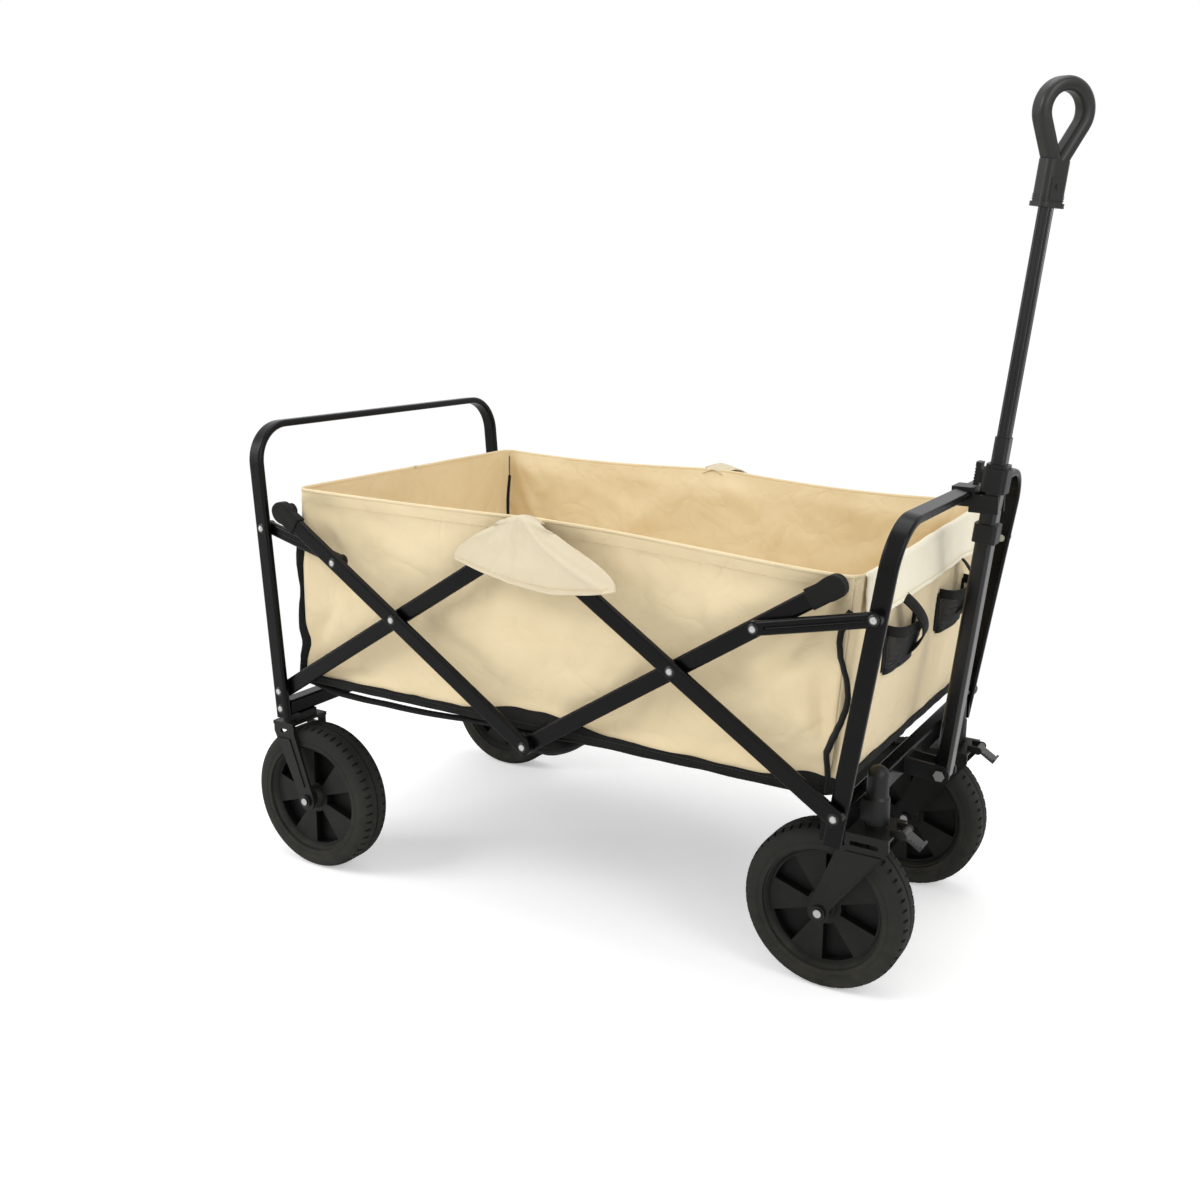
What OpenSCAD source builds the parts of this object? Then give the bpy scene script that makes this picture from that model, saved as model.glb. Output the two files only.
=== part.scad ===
// Folding beach cart: scissor side frames, fabric tub, telescopic pull handle and swivelling front wheels.
// X runs from the back to the front, Y to the cart's left, Z up. The floor is z = 0.

/* [Overall] */
// Width over the outermost rivet heads
cart_width = 500; // [440:1:600]
// Distance between the lower rear and lower front pivots, open
pivot_span = 762; // [640:1:900]
// Height of the lower pivots above the floor
pivot_height = 240; // [225:1:300]
// Height of the upper middle pivots above the lower ones, open
scissor_rise = 246; // [200:1:290]
// Angle of the arms to the floor when the cart is folded
fold_angle = 74; // [68:1:76]

/* [End frames] */
// Height of the rear push rail's centre line
rear_rail_height = 580; // [545:1:640]
// Height of the front rail's centre line
front_rail_height = 545; // [530:1:600]
// Backward lean of the rear legs, degrees
rear_lean = 5; // [2:0.5:8]
// Forward lean of the front legs, degrees
front_lean = 8.5; // [5:0.5:11]
// Centre-line radius of the rails' corners
rail_bend_radius = 48; // [30:1:70]

/* [Tubes and rivets] */
// Wide side of the flat-sided tube
tube_width = 20; // [17:0.5:22]
// Narrow side of the flat-sided tube
tube_thickness = 9; // [8:0.5:11]
// Wall of the flat-sided tube
tube_wall = 1.2; // [1:0.1:2]
// Radius of the flat-sided tube's corners
tube_corner = 3.4; // [2:0.1:3.8]
// Gap between the outer and the inner layer of arms
layer_gap = 1; // [0.8:0.1:2]
// Radius of a rivet's shank
rivet_radius = 3; // [2.5:0.1:3.5]
// Height of the short links' leg pivots above the lower pivots
link_height = 212; // [206:1:216]

/* [Wheels] */
// Wheel radius
wheel_radius = 95; // [85:1:98]
// Depth of a tyre, rim to tread
tyre_depth = 24; // [18:1:30]
// Tyre width
tyre_width = 45; // [36:1:50]
// Blocks round each shoulder of a tyre
tread_blocks = 52; // [30:1:64]
// Radius of an axle bolt
axle_radius = 5; // [4:0.5:6]
// Distance from the middle of the cart to a rear wheel
rear_wheel_offset = 212; // [205:1:216]
// Distance from the middle of the cart to a front wheel
front_wheel_offset = 146; // [140:1:152]
// How far a front wheel's axle trails its swivel stem
caster_trail = 50; // [30:1:50]
// How far a rear wheel's axle sits in front of its fork's crown
rear_fork_rake = 37; // [20:1:45]

/* [Handle] */
// Forward lean of the parked handle, degrees
handle_lean = 6.2; // [5:0.1:7]
// Length of the outer handle tube above its pivot
outer_tube_length = 340; // [335:1:350]
// Length of the middle tube that shows above the outer tube
middle_tube_shown = 56; // [40:1:80]
// Length of the inner tube that shows above the middle tube
inner_tube_shown = 243; // [200:1:280]
// Height of the grip, base to top
grip_height = 130; // [115:1:140]
// Width of the finger opening in the grip
grip_opening = 38; // [32:1:44]
// Turn of the grip about the handle's axis, from crosswise, degrees
grip_turn = 40; // [0:5:60]

/* [Fabric tub] */
// Height of the tub's rim
rim_height = 505; // [490:1:515]
// Thickness of the fabric walls
fabric_thickness = 2.5; // [2:0.1:4]
// Width of a side flap along its hanging edge
flap_width = 172; // [140:1:200]
// Width of a side flap where it crosses the rim
flap_neck = 82; // [60:1:110]
// Depth to which a side flap hangs below the rim
flap_drop = 80; // [60:1:110]
// Depth of a drink pocket, wall to front
pocket_bulge = 28; // [15:1:30]

/* [Hidden] */
$fn = 64;
running_fit = 0.05;
slide_fit = 0.2;
soft_gap = 0.3;
cut = 1;
// a straight run reaches this far into the bend that it meets
seam = 0.002;

// layers, counted from the middle of the cart outwards
head_height = 2;
tail_height = 1.5;
outer_y = cart_width / 2 - head_height - tube_thickness / 2;
inner_y = outer_y - tube_thickness - layer_gap;
inner_face = inner_y - tube_thickness / 2;
outer_face = outer_y + tube_thickness / 2;
head_radius = 6;
washer_radius = 8;

// scissor geometry in the X-Z plane, as [x, z]
half_span = pivot_span / 2;
arm_length = norm([half_span, scissor_rise]);
rest_angle = atan(scissor_rise / half_span);
rear_pivot = [-half_span, pivot_height];
front_pivot = [half_span, pivot_height];
top_pivot = [0, pivot_height + scissor_rise];
centre_pivot = [0, pivot_height];
rear_crossing = (rear_pivot + top_pivot) / 2;
front_crossing = (front_pivot + top_pivot) / 2;
tip_cut = 18;
arm_tip = arm_length - tip_cut;
rear_tip = centre_pivot + arm_tip * [-cos(rest_angle), sin(rest_angle)];
front_tip = centre_pivot + arm_tip * [cos(rest_angle), sin(rest_angle)];

// A short link keeps its length both open and folded, which sets its pivot on the arm.
function link_reach(lean) = let (
    side = -link_height * tan(lean),
    dc = cos(rest_angle) - cos(fold_angle),
    ds = sin(rest_angle) - sin(fold_angle),
    k = pow(cos(rest_angle), 2) - pow(cos(fold_angle), 2)
) (pow(arm_length, 2) * k / 2 - arm_length * dc * side)
    / (arm_length * k - dc * side + ds * link_height);
function along(from, to, distance) = from + (to - from) * distance / norm(to - from);
rear_link_leg = rear_pivot + [-link_height * tan(rear_lean), link_height];
front_link_leg = front_pivot + [link_height * tan(front_lean), link_height];
rear_link_arm = along(centre_pivot, rear_tip, link_reach(rear_lean));
front_link_arm = along(centre_pivot, front_tip, link_reach(front_lean));

// bars and wheels under the end frames
rear_bar_size = 20;
rear_bar_z = pivot_height - tube_width / 2 - 3 - rear_bar_size / 2;
rear_bar_x = rear_pivot[0] + (pivot_height - rear_bar_z) * tan(rear_lean);
leg_foot = rear_bar_z - rear_bar_size / 2 - 2;
beam_depth = 18;
beam_height = 24;
beam_z = pivot_height - 22;
beam_front = half_span - 3;
stem_x = half_span + 11;
front_axle_x = stem_x - caster_trail;
rear_crown_x = rear_bar_x - 5;
rear_axle_x = rear_crown_x + rear_fork_rake;
crown_gap = 3;
plate = 3.5;
crown_z = 2 * wheel_radius + crown_gap;
crown_top = crown_z + plate;
blade_gap = 3.5;
blade_inner = tyre_width / 2 + blade_gap;
blade_outer = blade_inner + plate;
hub_half = tyre_width / 2 - 2;
boss_radius = 13;
rib_rise = 1.4;
stem_radius = 6;
housing_radius = 14;
housing_gap = 3;
housing_bottom = crown_top + housing_gap;
housing_top = pivot_height + 26;
stem_top = housing_top - 10;
rim_radius = wheel_radius - tyre_depth;
window_radius = rim_radius - 6;
rim_windows = 5;

// floor of the tub, carried by the sleeves on the centre tube
centre_tube_radius = 8;
sleeve_radius = 15;
sleeve_length = 90;
tub_floor = pivot_height + sleeve_radius + soft_gap;
tub_half_width = inner_face - 3;
leg_clearance = 6;
function rear_leg_x(z) = rear_pivot[0] - (z - pivot_height) * tan(rear_lean);
function front_leg_x(z) = front_pivot[0] + (z - pivot_height) * tan(front_lean);
tub_rear_low = rear_leg_x(tub_floor) + tube_width / 2 + leg_clearance;
tub_rear_high = rear_leg_x(rim_height) + tube_width / 2 + leg_clearance;
tub_front_low = front_leg_x(tub_floor) - tube_width / 2 - leg_clearance;
tub_front_high = front_leg_x(rim_height) - tube_width / 2 - leg_clearance;
board_count = 4;
board_thickness = 5;
board_gap = 4;

// handle sections as [depth in X, width in Y]
outer_section = [19, 23];
outer_wall = 1.1;
middle_section = outer_section - [1, 1] * 2 * (outer_wall + slide_fit);
middle_wall = 1;
inner_section = middle_section - [1, 1] * 2 * (middle_wall + slide_fit);
inner_wall = 1.2;
section_corner = 4;
collar_wall = 4;
handle_pivot = [beam_front + 43, pivot_height - 25];
collar_height = 31;
collar_base = outer_tube_length - 5;
middle_top = outer_tube_length + collar_height - 5 + middle_tube_shown - 26;
grip_base = middle_top + inner_tube_shown;
middle_tube_length = 282;
inner_tube_overlap = 57;
grip_bar = [22, 15];
grip_bar_corner = 6.5;
grip_loop_radius = grip_opening / 2 + grip_bar[1] / 2;
grip_loop_z = grip_height - grip_loop_radius - grip_bar[1] / 2;
grip_taper = 27;
button_size = [14, 14, 20];

// the origin sits on the floor under the middle of the bounding box
grip_front = handle_pivot[0] + (grip_base + grip_loop_z) * sin(handle_lean) + grip_bar_corner
    + (grip_loop_radius + grip_bar[1] / 2 - grip_bar_corner)
        * norm([sin(grip_turn) * cos(handle_lean), sin(handle_lean)])
    + (grip_bar[0] / 2 - grip_bar_corner) * cos(grip_turn) * cos(handle_lean);
rear_edge = rear_axle_x - wheel_radius;
origin_shift = (grip_front + rear_edge) / 2;

black = [0.08, 0.08, 0.08];
canvas = [0.89, 0.79, 0.60];
silver = [0.75, 0.75, 0.76];
rubber = [0.12, 0.12, 0.12];
grey = [0.55, 0.56, 0.58];

// ---- placing ----
module placed() {
    translate([-origin_shift, 0, 0]) children();
}
module at(point, y = 0) {
    translate([point[0], y, point[1]]) children();
}
// both sides of the cart: the children are drawn for the left side
module both_sides() {
    children();
    mirror([0, 1, 0]) children();
}
module side(name) {
    mirror([0, name == "right" ? 1 : 0, 0]) children();
}
// turns the Z axis to +Y
module along_y() {
    rotate([-90, 0, 0]) children();
}

// ---- sections ----
// rectangle with round corners, centred
module rounded_section(width, depth, radius) {
    square([width - 2 * radius, depth], center = true);
    square([width, depth - 2 * radius], center = true);
    for (sx = [0, 1], sy = [0, 1]) mirror([sx, 0]) mirror([0, sy])
        translate([width / 2 - radius, depth / 2 - radius]) intersection() {
            circle(radius);
            square(2 * radius);
        }
}
module tube_section(inset = 0) {
    rounded_section(tube_width - 2 * inset, tube_thickness - 2 * inset, tube_corner - inset);
}

// ---- scissor arms ----
// flat tube from the first pivot to the last, along +X, with rounded flattened ends
module flat_bar(pivots, bores) {
    last = pivots[len(pivots) - 1];
    boss = tube_width / 2 + 1;
    difference() {
        intersection() {
            rotate([90, 0, 0]) linear_extrude(tube_thickness, center = true) {
                circle(tube_width / 2);
                translate([last, 0]) circle(tube_width / 2);
                translate([0, -tube_width / 2]) square([last, tube_width]);
            }
            translate([-tube_width / 2, 0, 0]) rotate([90, 0, 90])
                linear_extrude(last + tube_width) rotate(90) tube_section();
        }
        for (i = [0 : len(pivots) - 2]) {
            translate([pivots[i] + boss, 0, 0]) rotate([90, 0, 90])
                linear_extrude(pivots[i + 1] - pivots[i] - 2 * boss) rotate(90) tube_section(tube_wall);
        }
        for (i = [0 : len(pivots) - 1]) {
            translate([pivots[i], 0, 0]) along_y()
                cylinder(h = tube_thickness + 2 * cut, r = bores[i], center = true);
        }
    }
}
// bar between points of the X-Z plane, in one layer
module arm(points, bores, y) {
    start = points[0];
    last = points[len(points) - 1];
    slope = atan2(last[1] - start[1], last[0] - start[0]);
    at(start, y) rotate([0, -slope, 0])
        flat_bar([for (p = points) norm(p - start)], bores);
}
fixed_bore = rivet_radius;
free_bore = rivet_radius + running_fit;
module inner_rear_arm() {
    color(black) arm([rear_pivot, rear_crossing, top_pivot], [free_bore, fixed_bore, fixed_bore], inner_y);
}
module outer_rear_arm() {
    color(black) arm([centre_pivot, rear_crossing, rear_link_arm, rear_tip],
        [fixed_bore, free_bore, fixed_bore, fixed_bore], outer_y);
}
module outer_front_arm() {
    color(black) arm([top_pivot, front_crossing, front_pivot], [free_bore, fixed_bore, fixed_bore], outer_y);
}
module inner_front_arm() {
    color(black) arm([centre_pivot, front_crossing, front_link_arm, front_tip],
        [free_bore, free_bore, free_bore, fixed_bore], inner_y);
}

// ---- rivets ----
// domed head on the outer face, washer between the layers, small tail on the inner face
module rivet(outside, inside, head = true, tail = true, washer = true) {
    shank_out = outside + (head ? cut / 2 : 0);
    color(silver) rotate([-90, 0, 0]) rotate_extrude() {
        translate([0, inside - (tail ? cut / 2 : 0)]) square([rivet_radius, shank_out - inside
            + (tail ? cut / 2 : 0)]);
        if (head) {
            intersection() {
                translate([0, outside]) square([head_radius, head_height]);
                translate([0, outside + head_height - 10.5]) circle(10.5);
            }
        }
        if (tail) {
            translate([0, inside - tail_height]) square([head_radius - 1.5, tail_height]);
        }
        if (washer) {
            translate([0, outer_face - tube_thickness - layer_gap + running_fit])
                square([washer_radius, layer_gap - 2 * running_fit]);
        }
    }
}
module rivet_at(point, outside = outer_face, inside = inner_face, head = true, tail = true, washer = true) {
    at(point) rivet(outside, inside, head, tail, washer);
}
module rear_pivot_rivets() {
    both_sides() {
        rivet_at(rear_pivot);
        rivet_at([rear_leg_x(rear_bar_z), rear_bar_z], outer_face, outer_face - tube_thickness - 12,
            tail = false, washer = false);
    }
}
module rear_arm_rivets() {
    both_sides() {
        rivet_at(rear_crossing);
        rivet_at(top_pivot);
    }
}
module front_arm_rivets() {
    both_sides() {
        rivet_at(front_crossing);
        rivet_at(front_pivot);
    }
}
module centre_rivets() {
    both_sides() rivet_at(centre_pivot, outer_face, inner_face - 12, tail = false);
}
module rear_link_studs() {
    both_sides() rivet_at(rear_link_arm, outer_face, outer_face - tube_thickness,
        tail = false, washer = false);
}
module rear_link_rivets() {
    both_sides() rivet_at(rear_link_leg);
}
module front_link_rivets() {
    both_sides() {
        rivet_at(front_link_leg);
        rivet_at(front_link_arm, outer_face, outer_face - tube_thickness, tail = false, washer = false);
    }
}

// ---- short links ----
link_width = 16;
module link(from, to, bores, y) {
    reach = norm(to - from);
    slope = atan2(to[1] - from[1], to[0] - from[0]);
    color(black) at(from, y) rotate([0, -slope, 0]) difference() {
        union() {
            rotate([90, 0, 0]) linear_extrude(tube_thickness, center = true) {
                circle(link_width / 2);
                translate([reach, 0]) circle(link_width / 2);
            }
            rotate([90, 0, 90]) linear_extrude(reach)
                rounded_section(tube_thickness, link_width, tube_corner);
        }
        along_y() cylinder(h = tube_thickness + 2 * cut, r = bores[0], center = true);
        translate([reach, 0, 0]) along_y()
            cylinder(h = tube_thickness + 2 * cut, r = bores[1], center = true);
        // pressed groove along the outer face
        translate([reach / 2, tube_thickness / 2, 0]) rotate([0, 90, 0])
            cylinder(h = reach - 3 * link_width / 2, r = 1.5, center = true);
    }
}
module rear_link() {
    link(rear_link_leg, rear_link_arm, [fixed_bore, free_bore], inner_y);
}
module front_link() {
    link(front_link_leg, front_link_arm, [fixed_bore, fixed_bore], outer_y);
}

// ---- end frames ----
// upright U of flat tube in the Y-Z plane: legs from foot to the bends, and the rail
module bent_frame(half_width, height, foot, inset = 0) {
    bend_y = half_width - rail_bend_radius;
    bend_z = height - rail_bend_radius;
    both_sides() {
        translate([0, half_width, foot]) linear_extrude(bend_z - foot + seam) tube_section(inset);
        translate([0, bend_y, bend_z]) rotate([90, 0, 90]) rotate_extrude(angle = 90)
            translate([rail_bend_radius, 0]) rotate(90) tube_section(inset);
    }
    translate([0, 0, height]) rotate([90, 0, 0]) linear_extrude(2 * (bend_y + seam), center = true)
        tube_section(inset);
}
module end_frame(half_width, height, foot, bores) {
    difference() {
        bent_frame(half_width, height, foot);
        bent_frame(half_width, height, foot - cut, tube_wall);
        for (bore = bores) {
            translate([0, 0, bore[0]]) along_y() cylinder(h = 3 * half_width, r = bore[1], center = true);
        }
    }
}
module rear_frame() {
    rise = (rear_rail_height - pivot_height) / cos(rear_lean);
    color(black) at(rear_pivot) rotate([0, -rear_lean, 0])
        end_frame(outer_y, rise, (leg_foot - pivot_height) / cos(rear_lean),
            [[0, fixed_bore], [link_height / cos(rear_lean), free_bore],
             [(rear_bar_z - pivot_height) / cos(rear_lean), fixed_bore]]);
}
module front_frame() {
    rise = (front_rail_height - pivot_height) / cos(front_lean);
    color(black) at(front_pivot) rotate([0, front_lean, 0])
        end_frame(inner_y, rise, (leg_foot - pivot_height) / cos(front_lean),
            [[0, free_bore], [link_height / cos(front_lean), free_bore]]);
}
module rear_crossbar() {
    reach = outer_y - tube_thickness / 2;
    color(black) difference() {
        translate([rear_bar_x, 0, rear_bar_z]) along_y()
            linear_extrude(2 * reach, center = true) rounded_section(rear_bar_size, rear_bar_size, 3);
        translate([rear_bar_x, 0, rear_bar_z]) along_y()
            linear_extrude(2 * reach - 30, center = true)
                rounded_section(rear_bar_size - 3, rear_bar_size - 3, 1.5);
        both_sides() translate([rear_leg_x(rear_bar_z), reach - 12, rear_bar_z]) along_y()
            cylinder(h = 12 + cut, r = fixed_bore);
    }
}
module front_crossbar() {
    ear = 3;
    color(black) {
        translate([beam_front - beam_depth / 2, 0, beam_z]) along_y() difference() {
            linear_extrude(2 * (inner_face - ear), center = true)
                rounded_section(beam_depth, beam_height, 3);
            linear_extrude(2 * (inner_face - ear) - 20, center = true)
                rounded_section(beam_depth - 3, beam_height - 3, 1.5);
        }
        both_sides() translate([beam_front - beam_depth, inner_face - ear, beam_z - beam_height / 2])
            cube([beam_depth + 9, ear, beam_height - 1]);
    }
}

// ---- forks and casters ----
// side outline of a fork blade, from the crown down to the axle; x is measured from the crown's middle
module blade_outline(axle, back, front, drop) {
    difference() {
        union() {
            translate([axle, -drop]) circle(boss_radius);
            polygon([
                [back, 0], [front, 0], [front, -14],
                [axle + boss_radius * 0.93, -drop + boss_radius * 0.37],
                [axle - boss_radius * 0.93, -drop + boss_radius * 0.37], [back, -14]
            ]);
        }
        translate([axle, -drop]) circle(axle_radius);
    }
}
// pressed rib down the middle of a blade, from under the slot to above the boss
module blade_rib(axle, back, front, drop) {
    top = -22;
    foot = -drop + boss_radius + 5;
    middle = (back + front) / 2;
    side = (front - back) / 2 - 7;
    foot_x = axle * (1 - (boss_radius + 5) / drop);
    polygon([[middle - side, top], [middle + side, top], [foot_x + 5, foot], [foot_x - 5, foot]]);
}
// crown plate and two blades; the fork stands at the crown's middle, y = 0
module fork(axle, back, front) {
    drop = crown_top - wheel_radius;
    slot = front - back - 22;
    for (s = [-1, 1]) {
        translate([0, s * (blade_inner + plate / 2), crown_top]) rotate([90, 0, 0]) difference() {
            linear_extrude(plate, center = true) blade_outline(axle, back, front, drop);
            translate([(back + front) / 2, -12, 0]) linear_extrude(plate + 2 * cut, center = true)
                rounded_section(slot, 5, 2.4);
        }
        translate([0, s * (blade_outer + rib_rise / 2 - cut / 4), crown_top]) rotate([90, 0, 0])
            linear_extrude(rib_rise + cut / 2, center = true) blade_rib(axle, back, front, drop);
    }
    translate([back, -blade_outer, crown_z]) cube([front - back, 2 * blade_outer, plate]);
    // folded lip along the crown's outer edges
    for (s = [-1, 1]) translate([back, s * (blade_outer + rib_rise / 2 - cut / 4)
        - (rib_rise + cut / 2) / 2, crown_z - 1])
        cube([front - back, rib_rise + cut / 2, plate + 1]);
}
module rear_fork() {
    pad = 15;
    color(black) translate([rear_crown_x, rear_wheel_offset, 0]) {
        fork(rear_fork_rake, -15, 19);
        translate([-pad + 2, -pad, crown_top])
            cube([2 * pad, 2 * pad, rear_bar_z - rear_bar_size / 2 - crown_top]);
    }
}
module caster_fork() {
    color(black) translate([stem_x, front_wheel_offset, 0]) {
        fork(-caster_trail, -30, 25);
        translate([0, 0, crown_top]) cylinder(h = housing_gap - soft_gap, r = 12);
        translate([0, 0, crown_top]) cylinder(h = stem_top - crown_top, r = stem_radius);
        // ears of the pedal and the pin that they carry
        for (s = [-1, 1]) translate([0, s * (pedal_width / 2 + 1.5), crown_top]) rotate([90, 0, 0])
            linear_extrude(2, center = true) {
                translate([pedal_reach, 0]) circle(5);
                translate([20, -plate]) square([pedal_reach - 20, plate + 5]);
            }
        translate([pedal_reach, 0, crown_top]) along_y()
            cylinder(h = pedal_width + 3, r = pedal_pin_radius, center = true);
    }
}
module stem_housings() {
    top_radius = 12;
    step = 30;
    tall = housing_top - housing_bottom;
    color(black) both_sides() translate([stem_x, front_wheel_offset, 0]) difference() {
        union() {
            translate([0, 0, housing_bottom]) rotate_extrude() {
                polygon([
                    [0, 0], [housing_radius - 1.5, 0], [housing_radius, 1.5], [housing_radius, step],
                    [top_radius, step + 3], [top_radius, tall - top_radius], [0, tall - top_radius]
                ]);
                intersection() {
                    translate([0, tall - top_radius]) circle(top_radius);
                    translate([0, tall - top_radius - 0.01]) square(2 * top_radius);
                }
            }
            translate([beam_front - stem_x, -housing_radius, beam_z - 11])
                cube([stem_x - beam_front, 2 * housing_radius, 22]);
        }
        translate([0, 0, housing_bottom - cut])
            cylinder(h = stem_top + 2 - housing_bottom + cut, r = stem_radius + running_fit);
    }
}
pedal_reach = 33;
pedal_pin_radius = 1.5;
pedal_width = 19;
pedal_pivot = [stem_x + pedal_reach, crown_z + plate];
module brake_pedal() {
    width = pedal_width;
    tilt = 32;
    color(grey) at(pedal_pivot, front_wheel_offset) difference() {
        union() {
            along_y() cylinder(h = width, r = 4.5, center = true);
            rotate([0, tilt, 0]) translate([0, -width / 2, -1.5]) cube([24, width, 3]);
            rotate([0, tilt, 0]) translate([21, -width / 2, -1.5]) cube([3, width, 6]);
            for (rib = [9, 13, 17]) rotate([0, tilt, 0])
                translate([rib, -width / 2 + 1.5, 0]) cube([1.5, width - 3, 2.3]);
        }
        along_y() cylinder(h = width + 2 * cut, r = pedal_pin_radius + running_fit, center = true);
    }
}
// bolt with a hexagon head outside, a nut inside and a spacer beside each blade
module axle_bolt() {
    color(silver) along_y() {
        cylinder(h = 2 * blade_outer, r = axle_radius, center = true);
        for (s = [-1, 1]) {
            translate([0, 0, s * (hub_half + blade_inner + running_fit) / 2])
                cylinder(h = blade_inner - hub_half - running_fit, r = axle_radius + 3, center = true);
        }
        translate([0, 0, blade_outer]) cylinder(h = 3, r = axle_radius + 3);
        translate([0, 0, blade_outer + 2.9]) cylinder(h = 1.6, r = axle_radius + 0.5);
        translate([0, 0, -blade_outer - 4]) cylinder(h = 4, r = axle_radius + 2.6, $fn = 6);
    }
}
module rear_axle_bolts() {
    both_sides() translate([rear_axle_x, rear_wheel_offset, wheel_radius]) axle_bolt();
}
module front_axle_bolt() {
    translate([front_axle_x, front_wheel_offset, wheel_radius]) axle_bolt();
}

// ---- wheels ----
// round-shouldered section, then gaps between the blocks of the tread on both shoulders
module tyre() {
    shoulder = 11;
    half = tyre_width / 2;
    gap_width = 3.2;
    gap_depth = 3;
    gap_reach = 13;
    groove_depth = 2;
    color(rubber) along_y() difference() {
        rotate_extrude($fn = 96) difference() {
            union() {
                translate([rim_radius, -half]) square([wheel_radius - rim_radius - shoulder, 2 * half]);
                translate([rim_radius, -half + shoulder])
                    square([wheel_radius - rim_radius, 2 * (half - shoulder)]);
                for (s = [-1, 1]) translate([wheel_radius - shoulder, s * (half - shoulder)])
                    circle(shoulder);
            }
            // one groove round the middle of the tread, one near each bead
            translate([wheel_radius - groove_depth, -1.2]) square([groove_depth + cut, 2.4]);
            for (s = [-1, 1]) translate([rim_radius + 5, s * (half + 0.6) - 0.9]) square([1.8, 1.8]);
        }
        for (s = [-1, 1], i = [0 : tread_blocks - 1]) rotate((i + s / 4) * 360 / tread_blocks)
            translate([wheel_radius - gap_depth, -gap_width / 2, s > 0 ? half - gap_reach : -half - cut])
                cube([gap_depth + shoulder, gap_width, gap_reach + cut]);
    }
}
// one blind window between two blades: narrow at the hub, wide at the rim
module window_outline() {
    spread = 360 / rim_windows / 4;
    intersection() {
        difference() {
            circle(window_radius - 2);
            circle(boss_radius + 7);
        }
        polygon([[0, 0], 2 * window_radius * [cos(spread), sin(spread)],
            2 * window_radius * [cos(spread), -sin(spread)]]);
    }
}
module rim() {
    edge = tyre_width / 2 - 3;
    face = 13;
    web = 3;
    lip = 2.5;
    color(black) along_y() difference() {
        rotate_extrude($fn = 96) polygon([
            [axle_radius + running_fit, -hub_half], [boss_radius, -hub_half],
            [boss_radius + 2, -face], [window_radius, -face],
            [rim_radius - lip, -edge], [rim_radius, -edge],
            [rim_radius, edge], [rim_radius - lip, edge],
            [window_radius, face], [boss_radius + 2, face],
            [boss_radius, hub_half], [axle_radius + running_fit, hub_half]
        ]);
        for (i = [0 : rim_windows - 1], s = [-1, 1]) rotate(i * 360 / rim_windows)
            translate([0, 0, s > 0 ? web / 2 : -tyre_width]) linear_extrude(tyre_width - web / 2)
                window_outline();
    }
}
module rear_wheel() {
    translate([rear_axle_x, rear_wheel_offset, wheel_radius]) children();
}
module front_wheel() {
    translate([front_axle_x, front_wheel_offset, wheel_radius]) children();
}

// ---- centre tube ----
module centre_tube() {
    half = inner_face - 0.2;
    color(black) at(centre_pivot) along_y() difference() {
        cylinder(h = 2 * half, r = centre_tube_radius, center = true);
        cylinder(h = 2 * half - 26, r = centre_tube_radius - tube_wall, center = true);
        for (s = [-1, 1]) translate([0, 0, s * half])
            cylinder(h = 26, r = fixed_bore, center = true);
    }
}
module centre_sleeves() {
    color(black) both_sides() at(centre_pivot, inner_face - 1 - sleeve_length) along_y() difference() {
        cylinder(h = sleeve_length, r = sleeve_radius);
        translate([0, 0, -cut]) cylinder(h = sleeve_length + 2 * cut, r = centre_tube_radius);
    }
}

// ---- corner caps on the arms' tips ----
// a pocket around the tip, and the stay that carries the tub's corner
module corner_cap(tip, y, direction) {
    wall = 1.6;
    slope = rest_angle * direction;
    radius = tube_width / 2 + 5;
    color(black) at(tip) rotate([0, -slope, 0]) difference() {
        union() {
            translate([0, y, 0]) rotate([90, 0, 0])
                linear_extrude(tube_thickness + 2 * wall, center = true) {
                    circle(radius);
                    translate([direction > 0 ? -30 : 0, -tube_width / 2 - wall])
                        square([30, tube_width + 2 * wall]);
                }
            translate([0, tub_half_width + soft_gap, 0]) along_y()
                cylinder(h = y - tub_half_width - soft_gap, r = 9);
        }
        translate([direction > 0 ? -40 : 0, y, 0]) rotate([90, 0, 90]) linear_extrude(40)
            rotate(90) tube_section();
        translate([0, y, 0]) along_y() cylinder(h = tube_thickness, r = tube_width / 2, center = true);
    }
}
module rear_corner_caps() {
    both_sides() corner_cap(rear_tip, outer_y, -1);
}
module front_corner_caps() {
    both_sides() corner_cap(front_tip, inner_y, 1);
}

// ---- fabric ----
// side outline of the tub, taken in by the wall thickness
module tub_outline(inset, top) {
    rear_slope = (tub_rear_high - tub_rear_low) / (rim_height - tub_floor);
    front_slope = (tub_front_high - tub_front_low) / (rim_height - tub_floor);
    low = tub_floor + inset;
    polygon([
        [tub_rear_low + rear_slope * (low - tub_floor) + inset, low],
        [tub_front_low + front_slope * (low - tub_floor) - inset, low],
        [tub_front_low + front_slope * (top - tub_floor) - inset, top],
        [tub_rear_low + rear_slope * (top - tub_floor) + inset, top]
    ]);
}
module tub() {
    color(canvas) difference() {
        rotate([90, 0, 0]) linear_extrude(2 * tub_half_width, center = true)
            tub_outline(0, rim_height);
        rotate([90, 0, 0]) linear_extrude(2 * (tub_half_width - fabric_thickness), center = true)
            tub_outline(fabric_thickness, rim_height + cut);
    }
}
module floor_boards() {
    back = tub_rear_low + fabric_thickness + 5;
    total = tub_front_low - fabric_thickness - 5 - back;
    board = (total - (board_count - 1) * board_gap) / board_count;
    color(black) for (i = [0 : board_count - 1]) {
        translate([back + i * (board + board_gap), -tub_half_width + fabric_thickness + 6,
            tub_floor + fabric_thickness + soft_gap])
            cube([board, 2 * (tub_half_width - fabric_thickness - 6), board_thickness]);
    }
}
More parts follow.
